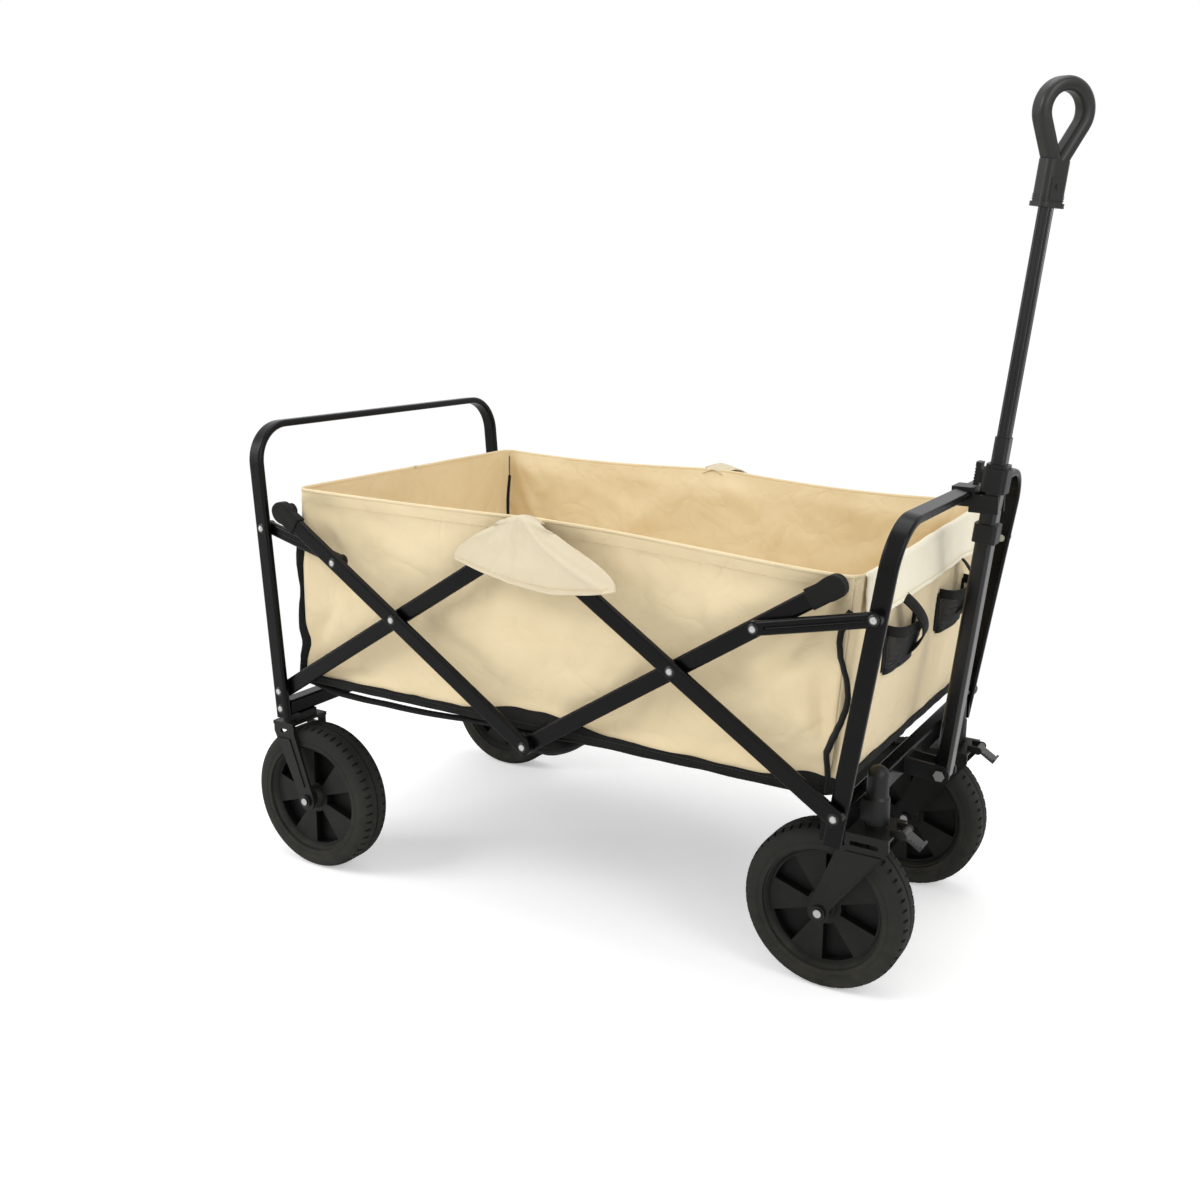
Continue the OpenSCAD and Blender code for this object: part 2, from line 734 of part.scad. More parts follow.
// cloth that covers an upper middle pivot: over the rim, outside the arms, and down
module side_flaps() {
    outside = outer_face + head_height + 2.5;
    color(canvas) both_sides() {
        translate([0, outside + fabric_thickness, 0]) rotate([90, 0, 0])
            linear_extrude(fabric_thickness) polygon([
                [-flap_neck / 2, rim_height + fabric_thickness + soft_gap],
                [-flap_width / 2, rim_height - flap_drop * 0.62],
                [-flap_width * 0.2, rim_height - flap_drop],
                [flap_width * 0.2, rim_height - flap_drop],
                [flap_width / 2, rim_height - flap_drop * 0.8],
                [flap_neck / 2, rim_height + fabric_thickness + soft_gap]
            ]);
        translate([-flap_neck / 2, tub_half_width - fabric_thickness, rim_height + soft_gap])
            cube([flap_neck, outside + fabric_thickness - tub_half_width + fabric_thickness,
                fabric_thickness]);
    }
}
// two drink pockets on the outside of the front wall
module front_pockets() {
    width = 105;
    low = pivot_height + 130;
    height = 88;
    slope = atan((tub_front_high - tub_front_low) / (rim_height - tub_floor));
    foot = tub_front_low + (low - tub_floor) * tan(slope) + soft_gap;
    color(black) both_sides() translate([foot, 95 - width / 2, low]) rotate([0, slope, 0])
        cube([pocket_bulge, width, height]);
}

// ---- handle ----
// local frame: z along the handle from its pivot
module handle_frame() {
    at(handle_pivot) rotate([0, handle_lean, 0]) children();
}
module handle_section(size, inset = 0) {
    rounded_section(size[0] - 2 * inset, size[1] - 2 * inset, section_corner - inset);
}
bolt_radius = 4;
module handle_yoke() {
    ear = 3;
    gap = outer_section[1] / 2 + 0.5;
    span = handle_pivot[0] - beam_front;
    color(grey) difference() {
        union() {
            both_sides() at(handle_pivot, gap + ear / 2) rotate([90, 0, 0])
                linear_extrude(ear, center = true) {
                    circle(11);
                    polygon([[-span + 0.5, -beam_height / 2 + 6], [-span + 0.5, beam_height / 2 + 2],
                        [0, 11], [4, -10]]);
                }
            translate([beam_front, -gap - ear, beam_z - beam_height / 2 + 4])
                cube([3, 2 * (gap + ear), beam_height - 5]);
        }
        at(handle_pivot) along_y() cylinder(h = 60, r = bolt_radius, center = true);
    }
}
module yoke_bolt() {
    half = outer_section[1] / 2 + 3.5;
    color(silver) at(handle_pivot) along_y() {
        cylinder(h = 2 * half, r = bolt_radius, center = true);
        translate([0, 0, half]) cylinder(h = 3, r = 7);
        translate([0, 0, -half - 4]) cylinder(h = 4, r = 7, $fn = 6);
    }
}
module outer_tube() {
    color(black) handle_frame() difference() {
        union() {
            linear_extrude(outer_tube_length) handle_section(outer_section);
            along_y() cylinder(h = outer_section[1], r = outer_section[0] / 2, center = true);
        }
        translate([0, 0, 14]) linear_extrude(outer_tube_length)
            handle_section(outer_section, outer_wall);
        along_y() cylinder(h = 60, r = bolt_radius + running_fit, center = true);
    }
}
module lower_sleeve() {
    color(black) handle_frame() translate([0, 0, outer_tube_length - 62]) difference() {
        linear_extrude(21) rounded_section(outer_section[0] + 7, outer_section[1] + 6, 5);
        translate([0, 0, -cut]) linear_extrude(30) handle_section(outer_section);
    }
}
module lock_collar() {
    depth = outer_section[0] + 2 * collar_wall;
    width = outer_section[1] + 2 * collar_wall;
    color(black) handle_frame() translate([0, 0, collar_base]) difference() {
        union() {
            linear_extrude(collar_height - 4) rounded_section(depth, width, 6);
            linear_extrude(collar_height) rounded_section(depth - 4, width - 4, 4);
        }
        translate([0, 0, -cut]) linear_extrude(outer_tube_length - collar_base + cut)
            handle_section(outer_section);
        linear_extrude(collar_height + cut) handle_section(middle_section, -slide_fit);
        // pocket of the button
        translate([-depth / 2 - cut, -button_size[1] / 2 - 0.15, 8 - 0.15])
            cube([collar_wall + 2 * cut, button_size[1] + 0.3, button_size[2] + 0.3 - 8]);
    }
}
button_out = 10;
module collar_button() {
    depth = outer_section[0] + 2 * collar_wall;
    rib_pitch = 3.4;
    color(black) handle_frame()
        translate([-depth / 2 - button_out, -button_size[1] / 2, collar_base + 8]) difference() {
            union() {
                cube([button_out, button_size[1], button_size[2] - 8]);
                translate([0, 0, -4]) cube([6, button_size[1], button_size[2] + 6]);
            }
            for (rib = [0 : 5]) translate([-0.01, -cut, rib * rib_pitch - 2])
                cube([0.8, button_size[1] + 2 * cut, 1.4]);
        }
}
module middle_tube() {
    color(black) handle_frame() translate([0, 0, middle_top - middle_tube_length])
        linear_extrude(middle_tube_length) difference() {
            handle_section(middle_section);
            handle_section(middle_section, middle_wall);
        }
}
module inner_tube() {
    low = middle_top - inner_tube_overlap;
    groove = 2.2;
    flute = 1.8;
    color(black) handle_frame() translate([0, 0, low])
        linear_extrude(grip_base - low + 20) difference() {
            handle_section(inner_section);
            handle_section(inner_section, inner_wall);
            for (sx = [-1, 1], sy = [-1, 1]) {
                translate([sx * inner_section[0] / 2, sy * 3.4]) square([1.2, groove], center = true);
                translate([sx * 2.4, sy * inner_section[1] / 2]) square([flute, 1.2], center = true);
            }
        }
}
// bar of the loop: deep across the loop's plane, with round edges
module grip_section() {
    rounded_section(grip_bar[0], grip_bar[1], grip_bar_corner);
}
// teardrop loop: an arc whose two tangents run down into the neck
module grip_loop() {
    leg = grip_loop_radius / tan(grip_taper);
    translate([0, 0, grip_loop_z]) {
        rotate([90, 0, 90]) rotate(-grip_taper) rotate_extrude(angle = 180 + 2 * grip_taper)
            translate([grip_loop_radius, 0]) rotate(90) grip_section();
        both_sides() rotate([-grip_taper, 0, 0]) translate([0, grip_loop_radius, -leg])
            linear_extrude(leg + seam) grip_section();
    }
}
module grip() {
    socket_height = 26;
    ring_height = 5;
    neck = [24, 29];
    neck_top = grip_loop_z - grip_loop_radius / sin(grip_taper) + 10;
    color(black) handle_frame() translate([0, 0, grip_base]) rotate(-grip_turn) difference() {
        union() {
            linear_extrude(ring_height) rounded_section(neck[0] + 4, neck[1] + 3, 9);
            linear_extrude(neck_top) rounded_section(neck[0], neck[1], 8);
            grip_loop();
            // cover plate of the socket, with its screw
            translate([neck[0] / 2 - cut, 0, ring_height + 3]) {
                translate([0, -8, 0]) cube([cut + 1, 16, 22]);
                translate([0, 0, 13]) rotate([0, 90, 0]) cylinder(h = cut + 2, r = 2.5);
            }
            for (rib = [0 : 2]) translate([0, 0, ring_height + 2 + 2.2 * rib])
                linear_extrude(1.1) rounded_section(neck[0] + 1.2, neck[1] + 1.2, 8.5);
        }
        rotate(grip_turn) translate([0, 0, -cut]) linear_extrude(20 + cut) handle_section(inner_section);
    }
}
// saddle on the front rail with two prongs beside the parked handle
module rail_clip() {
    wall = 3;
    prong = 3;
    gap = outer_section[1] / 2 + soft_gap;
    rail_x = front_leg_x(front_rail_height);
    tube_x = handle_pivot[0] + (front_rail_height - handle_pivot[1]) * tan(handle_lean);
    back = rail_x - tube_width / 2 - wall;
    color(black) difference() {
        union() {
            translate([back, -gap - prong, front_rail_height - 14])
                cube([tube_width + 2 * wall, 2 * (gap + prong), 14 + tube_thickness / 2 + wall]);
            both_sides() translate([back + tube_width, gap, front_rail_height - 20])
                cube([tube_x + 9 - back - tube_width, prong, 20]);
        }
        at([rail_x, front_rail_height]) rotate([0, front_lean, 0]) rotate([90, 0, 0])
            linear_extrude(80, center = true) tube_section();
        // runs with the parked tube's lean
        handle_frame() translate([-outer_section[0] / 2 - 1, -gap, 250]) cube([60, 2 * gap, 150]);
    }
}

placed() rear_frame();
placed() rear_crossbar();
placed() side("left") rear_fork();  // rear_fork_left
placed() side("right") rear_fork();  // rear_fork_right
placed() rear_axle_bolts();
placed() rear_pivot_rivets();
placed() tub();
placed() floor_boards();
placed() side_flaps();
placed() front_pockets();
placed() side("left") inner_rear_arm();  // inner_rear_arm_left
placed() side("right") inner_rear_arm();  // inner_rear_arm_right
placed() rear_arm_rivets();
placed() side("left") outer_rear_arm();  // outer_rear_arm_left
placed() side("right") outer_rear_arm();  // outer_rear_arm_right
placed() centre_tube();
placed() centre_sleeves();
placed() centre_rivets();
placed() rear_link_studs();
placed() rear_corner_caps();
placed() side("left") outer_front_arm();  // outer_front_arm_left
placed() side("right") outer_front_arm();  // outer_front_arm_right
placed() front_arm_rivets();
placed() side("left") inner_front_arm();  // inner_front_arm_left
placed() side("right") inner_front_arm();  // inner_front_arm_right
placed() front_corner_caps();
placed() front_frame();
placed() front_crossbar();
placed() stem_housings();
placed() handle_yoke();
placed() yoke_bolt();
placed() rail_clip();
placed() side("left") rear_link();  // rear_link_left
placed() side("right") rear_link();  // rear_link_right
placed() rear_link_rivets();
placed() side("left") front_link();  // front_link_left
placed() side("right") front_link();  // front_link_right
placed() front_link_rivets();
placed() side("left") caster_fork();  // caster_fork_left
placed() side("right") caster_fork();  // caster_fork_right
placed() side("left") front_axle_bolt();  // front_axle_bolt_left
placed() side("right") front_axle_bolt();  // front_axle_bolt_right
placed() side("left") brake_pedal();  // brake_pedal_left
placed() side("right") brake_pedal();  // brake_pedal_right
placed() side("left") rear_wheel() tyre();  // tyre_rear_left
placed() side("right") rear_wheel() tyre();  // tyre_rear_right
placed() side("left") front_wheel() tyre();  // tyre_front_left
placed() side("right") front_wheel() tyre();  // tyre_front_right
placed() side("left") rear_wheel() rim();  // rim_rear_left
placed() side("right") rear_wheel() rim();  // rim_rear_right
placed() side("left") front_wheel() rim();  // rim_front_left
placed() side("right") front_wheel() rim();  // rim_front_right
placed() outer_tube();
placed() lower_sleeve();
placed() lock_collar();
placed() collar_button();
placed() middle_tube();
placed() inner_tube();
placed() grip();
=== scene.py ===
import bpy
import bmesh
import math
import numpy as np
from mathutils import Matrix, Vector, noise


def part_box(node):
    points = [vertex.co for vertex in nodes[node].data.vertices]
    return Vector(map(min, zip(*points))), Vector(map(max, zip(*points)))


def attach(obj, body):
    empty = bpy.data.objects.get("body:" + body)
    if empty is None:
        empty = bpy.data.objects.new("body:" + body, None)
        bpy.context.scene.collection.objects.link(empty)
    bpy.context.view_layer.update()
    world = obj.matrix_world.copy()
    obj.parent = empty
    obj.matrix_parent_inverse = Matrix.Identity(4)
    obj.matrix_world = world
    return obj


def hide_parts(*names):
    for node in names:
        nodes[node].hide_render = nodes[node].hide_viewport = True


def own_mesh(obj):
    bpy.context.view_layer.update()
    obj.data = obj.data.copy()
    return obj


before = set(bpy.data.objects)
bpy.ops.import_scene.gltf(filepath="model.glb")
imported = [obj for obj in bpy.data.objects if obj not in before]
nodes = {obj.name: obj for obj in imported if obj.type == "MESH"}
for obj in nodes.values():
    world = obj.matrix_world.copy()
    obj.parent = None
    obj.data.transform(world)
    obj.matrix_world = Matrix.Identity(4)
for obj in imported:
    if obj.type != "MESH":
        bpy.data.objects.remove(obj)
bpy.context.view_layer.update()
scene = bpy.context.scene
scene.view_settings.view_transform = "Standard"
noise.seed_set(4)       # noise_vector follows the clock until it has a seed


def srgb(r, g, b):
    """Display colour, 0 to 255, as the linear colour that a shader takes."""

    def linear(c):
        c /= 255
        return c / 12.92 if c <= 0.04045 else ((c + 0.055) / 1.055) ** 2.4

    return (linear(r), linear(g), linear(b), 1)


# ---------------------------------------------------------------- shared shader effects
NUMBER, VECTOR = "NodeSocketFloat", "NodeSocketVector"
GEOMETRY, MATERIAL = "NodeSocketGeometry", "NodeSocketMaterial"


class Tree:
    """Short words for making and joining nodes."""

    def __init__(self, tree):
        self.tree = tree

    def add(self, kind, **settings):
        n = self.tree.nodes.new(kind)
        for key, value in settings.items():
            setattr(n, key, value)
        return n

    def join(self, a, b):
        self.tree.links.new(a, b)

    def feed(self, socket, value):
        """Sets a socket to a plain value, or joins another node's output to it."""
        if isinstance(value, (int, float, tuple)):
            socket.default_value = value
        else:
            self.join(value, socket)

    def group(self, effect, **values):
        """Places a shared effect, with its own values, and gives its outputs."""
        n = self.add("ShaderNodeGroup", node_tree=effect)
        for name, value in values.items():
            self.feed(n.inputs[name], value)
        return n.outputs

    def math(self, operation, *values):
        n = self.add("ShaderNodeMath", operation=operation)
        for socket, value in zip(n.inputs, values):
            self.feed(socket, value)
        return n.outputs[0]

    def vector(self, operation, *values):
        n = self.add("ShaderNodeVectorMath", operation=operation)
        for socket, value in zip(n.inputs, values):
            self.feed(socket, value)
        return n.outputs["Value" if operation == "LENGTH" else "Vector"]

    def coordinate(self, output="Object"):
        return self.add("ShaderNodeTexCoord").outputs[output]

    def split(self, vector):
        """The x, y and z of a vector."""
        n = self.add("ShaderNodeSeparateXYZ")
        self.join(vector, n.inputs[0])
        return n.outputs

    def noise(self, place, scale, detail, distortion=0.0):
        n = self.add("ShaderNodeTexNoise")
        self.join(place, n.inputs["Vector"])
        self.feed(n.inputs["Scale"], scale)
        n.inputs["Detail"].default_value = detail
        n.inputs["Distortion"].default_value = distortion
        return n.outputs[0]

    def spread(self, value, from_range, to_range, **settings):
        """Carries a value from one range of numbers over to another."""
        n = self.add("ShaderNodeMapRange", **settings)
        self.join(value, n.inputs["Value"])
        for end, (start, stop) in (("From", from_range), ("To", to_range)):
            self.feed(n.inputs[f"{end} Min"], start)
            self.feed(n.inputs[f"{end} Max"], stop)
        return n.outputs[0]

    def ramp(self, value, low, high):
        """Grey that goes from one (position, shade) to another."""
        n = self.add("ShaderNodeValToRGB")
        for element, (position, shade) in zip(n.color_ramp.elements, (low, high)):
            element.position = position
            element.color = (shade, shade, shade, 1)
        self.join(value, n.inputs[0])
        return n.outputs[0]

    def blend(self, factor, a, b):
        """Mixes two colours; 6 and 7 are the colour inputs of the node, and 2 its colour output."""
        n = self.add("ShaderNodeMix", data_type="RGBA")
        self.join(factor, n.inputs["Factor"])
        self.feed(n.inputs[6], a)
        self.feed(n.inputs[7], b)
        return n.outputs[2]


def node_group(kind, name, inputs, outputs):
    """New node group: inputs are (name, type, value), and outputs are (name, type)."""
    g = bpy.data.node_groups.new(name, kind)
    for socket, socket_type, value in inputs:
        s = g.interface.new_socket(socket, in_out="INPUT", socket_type=socket_type)
        if value is not None:
            s.default_value = value
    for socket, socket_type in outputs:
        g.interface.new_socket(socket, in_out="OUTPUT", socket_type=socket_type)
    t = Tree(g)
    t.given, t.result = t.add("NodeGroupInput").outputs, t.add("NodeGroupOutput").inputs
    return g, t


def make_weave():
    """Plain weave from two coordinates in metres: thread height and a slubby tone."""
    g, t = node_group("ShaderNodeTree", "plain_weave", [
        ("Place", VECTOR, None), ("Thread", NUMBER, 0.0007), ("Slub", NUMBER, 0.5)],
        [("Height", NUMBER), ("Tone", NUMBER)])
    place = t.split(t.given["Place"])
    warp, weft = [
        t.math("SINE", t.math("MULTIPLY", t.math("DIVIDE", place[axis], t.given["Thread"]), math.pi))
        for axis in (0, 1)]
    over = t.math("MULTIPLY", warp, weft)
    t.join(t.math("ADD", t.math("MULTIPLY", over, 0.5), 0.5), t.result["Height"])
    stretched = t.vector("MULTIPLY", t.given["Place"], (60, 900, 60))
    slub = t.math("SUBTRACT", t.noise(stretched, 1.0, 3), 0.5)
    t.join(t.math("ADD", t.math("MULTIPLY", slub, t.given["Slub"]), 0.5), t.result["Tone"])
    return g


def make_grain():
    """Fine moulded or sprayed grain on object coordinates, with slow patches for roughness."""
    g, t = node_group("ShaderNodeTree", "fine_grain", [
        ("Scale", NUMBER, 900.0), ("Patch Scale", NUMBER, 14.0)],
        [("Height", NUMBER), ("Patch", NUMBER)])
    place = t.coordinate()
    t.join(t.noise(place, t.given["Scale"], 2), t.result["Height"])
    t.join(t.noise(place, t.given["Patch Scale"], 4), t.result["Patch"])
    return g


def make_dust():
    """Sand dust that gathers low down and in soft patches."""
    g, t = node_group("ShaderNodeTree", "low_dust", [
        ("Top", NUMBER, 0.2), ("Amount", NUMBER, 0.3)],
        [("Mask", NUMBER)])
    place = t.coordinate()
    low = t.spread(t.split(place)[2], (0, t.given["Top"]), (1, 0))
    spots = t.ramp(t.noise(place, 60, 5), (0.4, 0), (0.7, 1))
    mask = t.math("MULTIPLY", low, spots)
    t.join(t.math("MULTIPLY", mask, t.given["Amount"]), t.result["Mask"])
    return g


def make_crinkle():
    """Creases left by folding: thin ridges in two sizes, as a height, and as a painted shade that
    darkens along the creases.
    """
    g, t = node_group("ShaderNodeTree", "fold_crinkle", [
        ("Place", VECTOR, None), ("Scale", NUMBER, 18.0)],
        [("Height", NUMBER), ("Shade", NUMBER)])
    ridges = []
    for factor, detail in ((1.0, 2.0), (3.1, 1.0)):
        scale = t.math("MULTIPLY", t.given["Scale"], factor)
        swing = t.math("SUBTRACT", t.noise(t.given["Place"], scale, detail, distortion=0.35), 0.5)
        away = t.math("ABSOLUTE", swing)
        ridges.append(t.math("POWER", t.math("MULTIPLY", away, 4.0), 0.8))
    both = t.math("ADD", ridges[0], t.math("MULTIPLY", ridges[1], 0.14))
    t.join(both, t.result["Height"])
    # painted shade: strongest where the noise crosses its middle, in the creases' valleys
    t.join(t.math("MULTIPLY", t.math("SUBTRACT", 1.0, ridges[0]), 0.4), t.result["Shade"])
    return g


weave, grain, dust, crinkle = make_weave(), make_grain(), make_dust(), make_crinkle()
DUST_COLOUR = srgb(150, 132, 104)


# ---------------------------------------------------------------- materials
def material(name, roughness, metallic=0.0, specular=0.5, sheen=0.0):
    """New material, and its tree with the shader's own sockets as bsdf."""
    m = bpy.data.materials.new(name)
    m.use_nodes = True
    t = Tree(m.node_tree)
    t.bsdf = m.node_tree.nodes["Principled BSDF"].inputs
    t.bsdf["Roughness"].default_value = roughness
    t.bsdf["Metallic"].default_value = metallic
    t.bsdf["Specular IOR Level"].default_value = specular
    t.bsdf["Sheen Weight"].default_value = sheen
    return m, t


def add_bump(t, height, strength, distance):
    """Tilts the surface by a height map; distance is how deep it goes, in metres."""
    b = t.add("ShaderNodeBump")
    b.inputs["Strength"].default_value = strength
    b.inputs["Distance"].default_value = distance
    t.join(height, b.inputs["Height"])
    t.join(b.outputs[0], t.bsdf["Normal"])


def hard_material(name, colour, light, rough, spread, grain_scale, depth, metallic=0.0,
                  dust_amount=0.0, dust_top=0.2, specular=0.5, recess_shade=None):
    """Painted, moulded or plated surface: two close tones, patchy roughness, fine grain.

    Its last argument is a wheel's (middle, half width) across the cart: inside it the moulding is
    painted darker, as painted shade in the blind windows.
    """
    m, t = material(name, rough, metallic, specular)
    surface = t.group(grain, Scale=grain_scale)
    base = t.blend(t.ramp(surface["Patch"], (0.35, 0), (0.7, 1)), colour, light)
    if dust_amount:
        mask = t.group(dust, Amount=dust_amount, Top=dust_top)["Mask"]
        base = t.blend(mask, base, DUST_COLOUR)
    # painted shade: the wheel's blind windows are darkened to near black, for the shadow inside them
    if recess_shade:
        middle, half_width = recess_shade
        side = t.math("ABSOLUTE", t.split(t.coordinate())[1])
        off = t.math("ABSOLUTE", t.math("SUBTRACT", side, middle))
        # painted shade mask: 1 in the recessed middle of the wheel, 0 at its faces
        deep = t.ramp(t.math("DIVIDE", off, half_width), (0.50, 1), (0.85, 0))
        base = t.blend(deep, base, srgb(7, 7, 6))
    t.join(base, t.bsdf["Base Color"])
    patchy = t.spread(surface["Patch"], (0, 1), (rough - spread, rough + spread))
    t.join(patchy, t.bsdf["Roughness"])
    add_bump(t, surface["Height"], 0.35, depth)
    return m


def plated_head(t, bright, painted, plated):
    """Bare plating where bright is 1, and paint round it."""
    t.join(t.blend(bright, painted, plated), t.bsdf["Base Color"])
    t.join(t.math("MULTIPLY", bright, 0.75), t.bsdf["Metallic"])
    add_bump(t, t.group(grain)["Height"], 0.3, 0.00005)


def rivet_material(name):
    """Plated rivet or bolt: a bright middle rubbed bare of paint, and a painted skirt that stays black.
    """
    m, t = material(name, 0.3, specular=0.35)
    outward = t.math("ABSOLUTE", t.split(t.coordinate("Normal"))[1])
    uneven = t.math("MULTIPLY", t.math("SUBTRACT", t.group(grain)["Height"], 0.5), 0.1)
    bright = t.ramp(t.math("ADD", outward, uneven), (0.92, 0), (0.965, 1))
    plated_head(t, bright, srgb(10, 10, 9), srgb(196, 196, 194))
    return m


def bolt_material(name, node):
    """Axle bolt: bright on the end of its shank, and a painted head round that."""
    m, t = material(name, 0.32, specular=0.35)
    low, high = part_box(node)
    away = t.vector("SUBTRACT", t.coordinate(), tuple((low + high) / 2))
    radius = t.vector("LENGTH", t.vector("MULTIPLY", away, (1, 0, 1)))
    centimetres = t.math("MULTIPLY", radius, 100)
    bright = t.ramp(centimetres, (0.40, 1), (0.50, 0))
    plated_head(t, bright, srgb(14, 14, 13), srgb(186, 186, 184))
    return m


def cloth_material(name, colour, light, thread, depth, sheen=0.15, stain_and_shade=0.0):
    """Woven cloth that reads the piece's own UV map, in metres."""
    m, t = material(name, 0.85, specular=0.25, sheen=sheen)
    uv = t.add("ShaderNodeUVMap", uv_map="cut").outputs[0]
    woven = t.group(weave, Place=uv, Thread=thread)
    creased = t.group(crinkle, Place=uv)
    base = t.blend(woven["Tone"], colour, light)
    faded = t.ramp(t.noise(uv, 7, 4), (0.35, 0), (0.75, 1))
    # painted shade: the crease shade is added to the stain patches, so the cloth is painted darker along
    # its creases
    patches_and_crease_shade = t.math("ADD", t.math("MULTIPLY", faded, stain_and_shade),
                  t.math("MULTIPLY", creased["Shade"], stain_and_shade))
    patches_and_crease_shade_colour = (colour[0] * 0.80, colour[1] * 0.78, colour[2] * 0.72, 1)
    t.join(t.blend(patches_and_crease_shade, base, patches_and_crease_shade_colour), t.bsdf["Base Color"])
    height = t.math("ADD", t.math("MULTIPLY", woven["Height"], 0.15), creased["Height"])
    add_bump(t, height, 0.6, depth * 7)
    return m


def wheel_plastic(axle):
    """Rim moulding of one axle's wheels, with painted shade in its blind windows."""
    low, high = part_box(f"rim_{axle}_left")
    return hard_material(f"wheel_plastic_{axle}", srgb(30, 32, 28), srgb(38, 40, 35), 0.5, 0.07, 1600,
                         0.00012, dust_amount=0.05, specular=0.22,
                         recess_shade=((low.y + high.y) / 2, (high.y - low.y) / 2))


steel = hard_material("powder_coated_steel", srgb(4, 4, 4), srgb(8, 8, 7), 0.27, 0.05, 1400,
                      0.00005, specular=0.16)
handle_steel = hard_material("handle_tube_paint", srgb(6, 6, 6), srgb(11, 11, 10), 0.2, 0.04,
                             1400, 0.00004)
fork_steel = hard_material("pressed_fork_steel", srgb(15, 16, 14), srgb(24, 25, 22), 0.42, 0.08,
                           1400, 0.00008, specular=0.25)
# painted highlight: the black brake pedals are painted mid grey, for the highlight that lights their
# tips
pedal_steel_painted_highlight = hard_material("pedal_plate_painted_highlight", srgb(52, 53, 52), srgb(74, 75, 74), 0.36, 0.08,
                            1300, 0.0001, metallic=0.5, specular=0.4)
yoke_zinc = hard_material("yoke_plate", srgb(40, 41, 41), srgb(56, 57, 57), 0.38, 0.1, 700,
                          0.00005, metallic=0.6, specular=0.3)
tread_rubber = hard_material("tread_rubber", srgb(35, 36, 32), srgb(45, 46, 41), 0.8, 0.07, 1100,
                             0.0002, dust_amount=0.06, dust_top=0.12, specular=0.2)
black_plastic = hard_material("black_moulded_plastic", srgb(12, 13, 12), srgb(20, 21, 20), 0.4,
                              0.08, 1500, 0.0001, specular=0.28)
grip_plastic = hard_material("grip_plastic", srgb(26, 28, 25), srgb(38, 40, 37), 0.36, 0.08,
                             1500, 0.0001, specular=0.35)
net_thread = hard_material("net_thread", srgb(24, 24, 24), srgb(36, 36, 36), 0.7, 0.05, 900,
                           0.0001)
dark_thread = hard_material("seam_thread", srgb(60, 50, 34), srgb(74, 62, 44), 0.8, 0.05, 900,
                            0.0001)
canvas_thread = hard_material("sewing_thread", srgb(226, 206, 166), srgb(238, 220, 184), 0.7,
                              0.05, 900, 0.0001)
canvas = cloth_material("beige_canvas", srgb(234, 214, 173), srgb(242, 225, 188), 0.0008, 0.0003,
                        stain_and_shade=0.3)
flap_canvas = cloth_material("flap_canvas", srgb(220, 206, 176), srgb(231, 219, 192), 0.0008,
                             0.0003, stain_and_shade=0.25)
# painted light: the valance's canvas, the same cloth as the flap, is painted lighter for the light it
# catches as it leans out
front_canvas_painted_light = cloth_material("front_canvas_painted_light", srgb(246, 238, 212), srgb(252, 246, 226), 0.0008,
                              0.0003, stain_and_shade=0.2)
black_webbing = cloth_material("black_webbing", srgb(9, 9, 8), srgb(20, 20, 18), 0.0012, 0.0005,
                               sheen=0.03)


def paint(names, m):
    """Gives each of the nodes the one material."""
    for name in names:
        data = nodes[name].data
        data.materials.clear()
        data.materials.append(m)


def nodes_with(*words):
    return [name for name in nodes if any(word in name for word in words)]


# the frame's paint goes on everything first, and what isn't painted steel follows
paint(nodes, steel)
paint(nodes_with("rivets", "bolt", "studs"), rivet_material("bright_rivet"))
paint(nodes_with("tyre_"), tread_rubber)
paint(nodes_with("brake_pedal"), pedal_steel_painted_highlight)
paint(nodes_with("fork"), fork_steel)
paint(["outer_tube", "middle_tube", "inner_tube"], handle_steel)
paint(["lock_collar", "lower_sleeve", "rail_clip", "stem_housings", "collar_button"], black_plastic)
paint(["grip"], grip_plastic)
paint(["handle_yoke"], yoke_zinc)
for axle in ("rear", "front"):
    paint(nodes_with(f"rim_{axle}"), wheel_plastic(axle))
    bolts = nodes_with(f"{axle}_axle_bolt")
    paint(bolts, bolt_material(f"{axle}_axle_bolt", bolts[0]))


# ---------------------------------------------------------------- mesh helpers
CUT = "cut"     # the UV map that cloth reads, in metres


def new_piece(name, mesh, m, smooth=True):
    o = bpy.data.objects.new(name, mesh)
    scene.collection.objects.link(o)
    if m is not None:
        mesh.materials.append(m)
    if smooth:
        mesh.shade_smooth()
    return o


def set_uv(mesh, uv):
    """Gives every corner of the mesh the (u, v) of its vertex."""
    layer = mesh.uv_layers.new(name=CUT)
    index = np.zeros(len(mesh.loops), int)
    mesh.loops.foreach_get("vertex_index", index)
    layer.data.foreach_set("uv", np.asarray(uv, float)[index].ravel())


def mesh_from(name, points, faces, uv):
    mesh = bpy.data.meshes.new(name)
    mesh.from_pydata([tuple(p) for p in points], [], faces)
    set_uv(mesh, uv)
    mesh.validate()
    mesh.update()
    return mesh


def closed_piece(name, points, faces, uv, m):
    """A shell without gaps, its faces turned outwards."""
    mesh = mesh_from(name, points, faces, uv)
    bm = bmesh.new()
    bm.from_mesh(mesh)
    bmesh.ops.recalc_face_normals(bm, faces=bm.faces)
    bm.to_mesh(mesh)
    bm.free()
    return new_piece(name, mesh, m)


def finished_mesh(o):
    """The object's mesh as its modifiers leave it."""
    return bpy.data.meshes.new_from_object(o.evaluated_get(bpy.context.evaluated_depsgraph_get()))


def grid_faces(columns, rows, closed=False):
    """Quads of a grid whose points run down each column; closed joins the last column to the first."""
    faces = []
    for i in range(columns if closed else columns - 1):
        for j in range(rows - 1):
            a, b = i * rows + j, (i + 1) % columns * rows + j
            faces.append((a, b, b + 1, a + 1))
    return faces


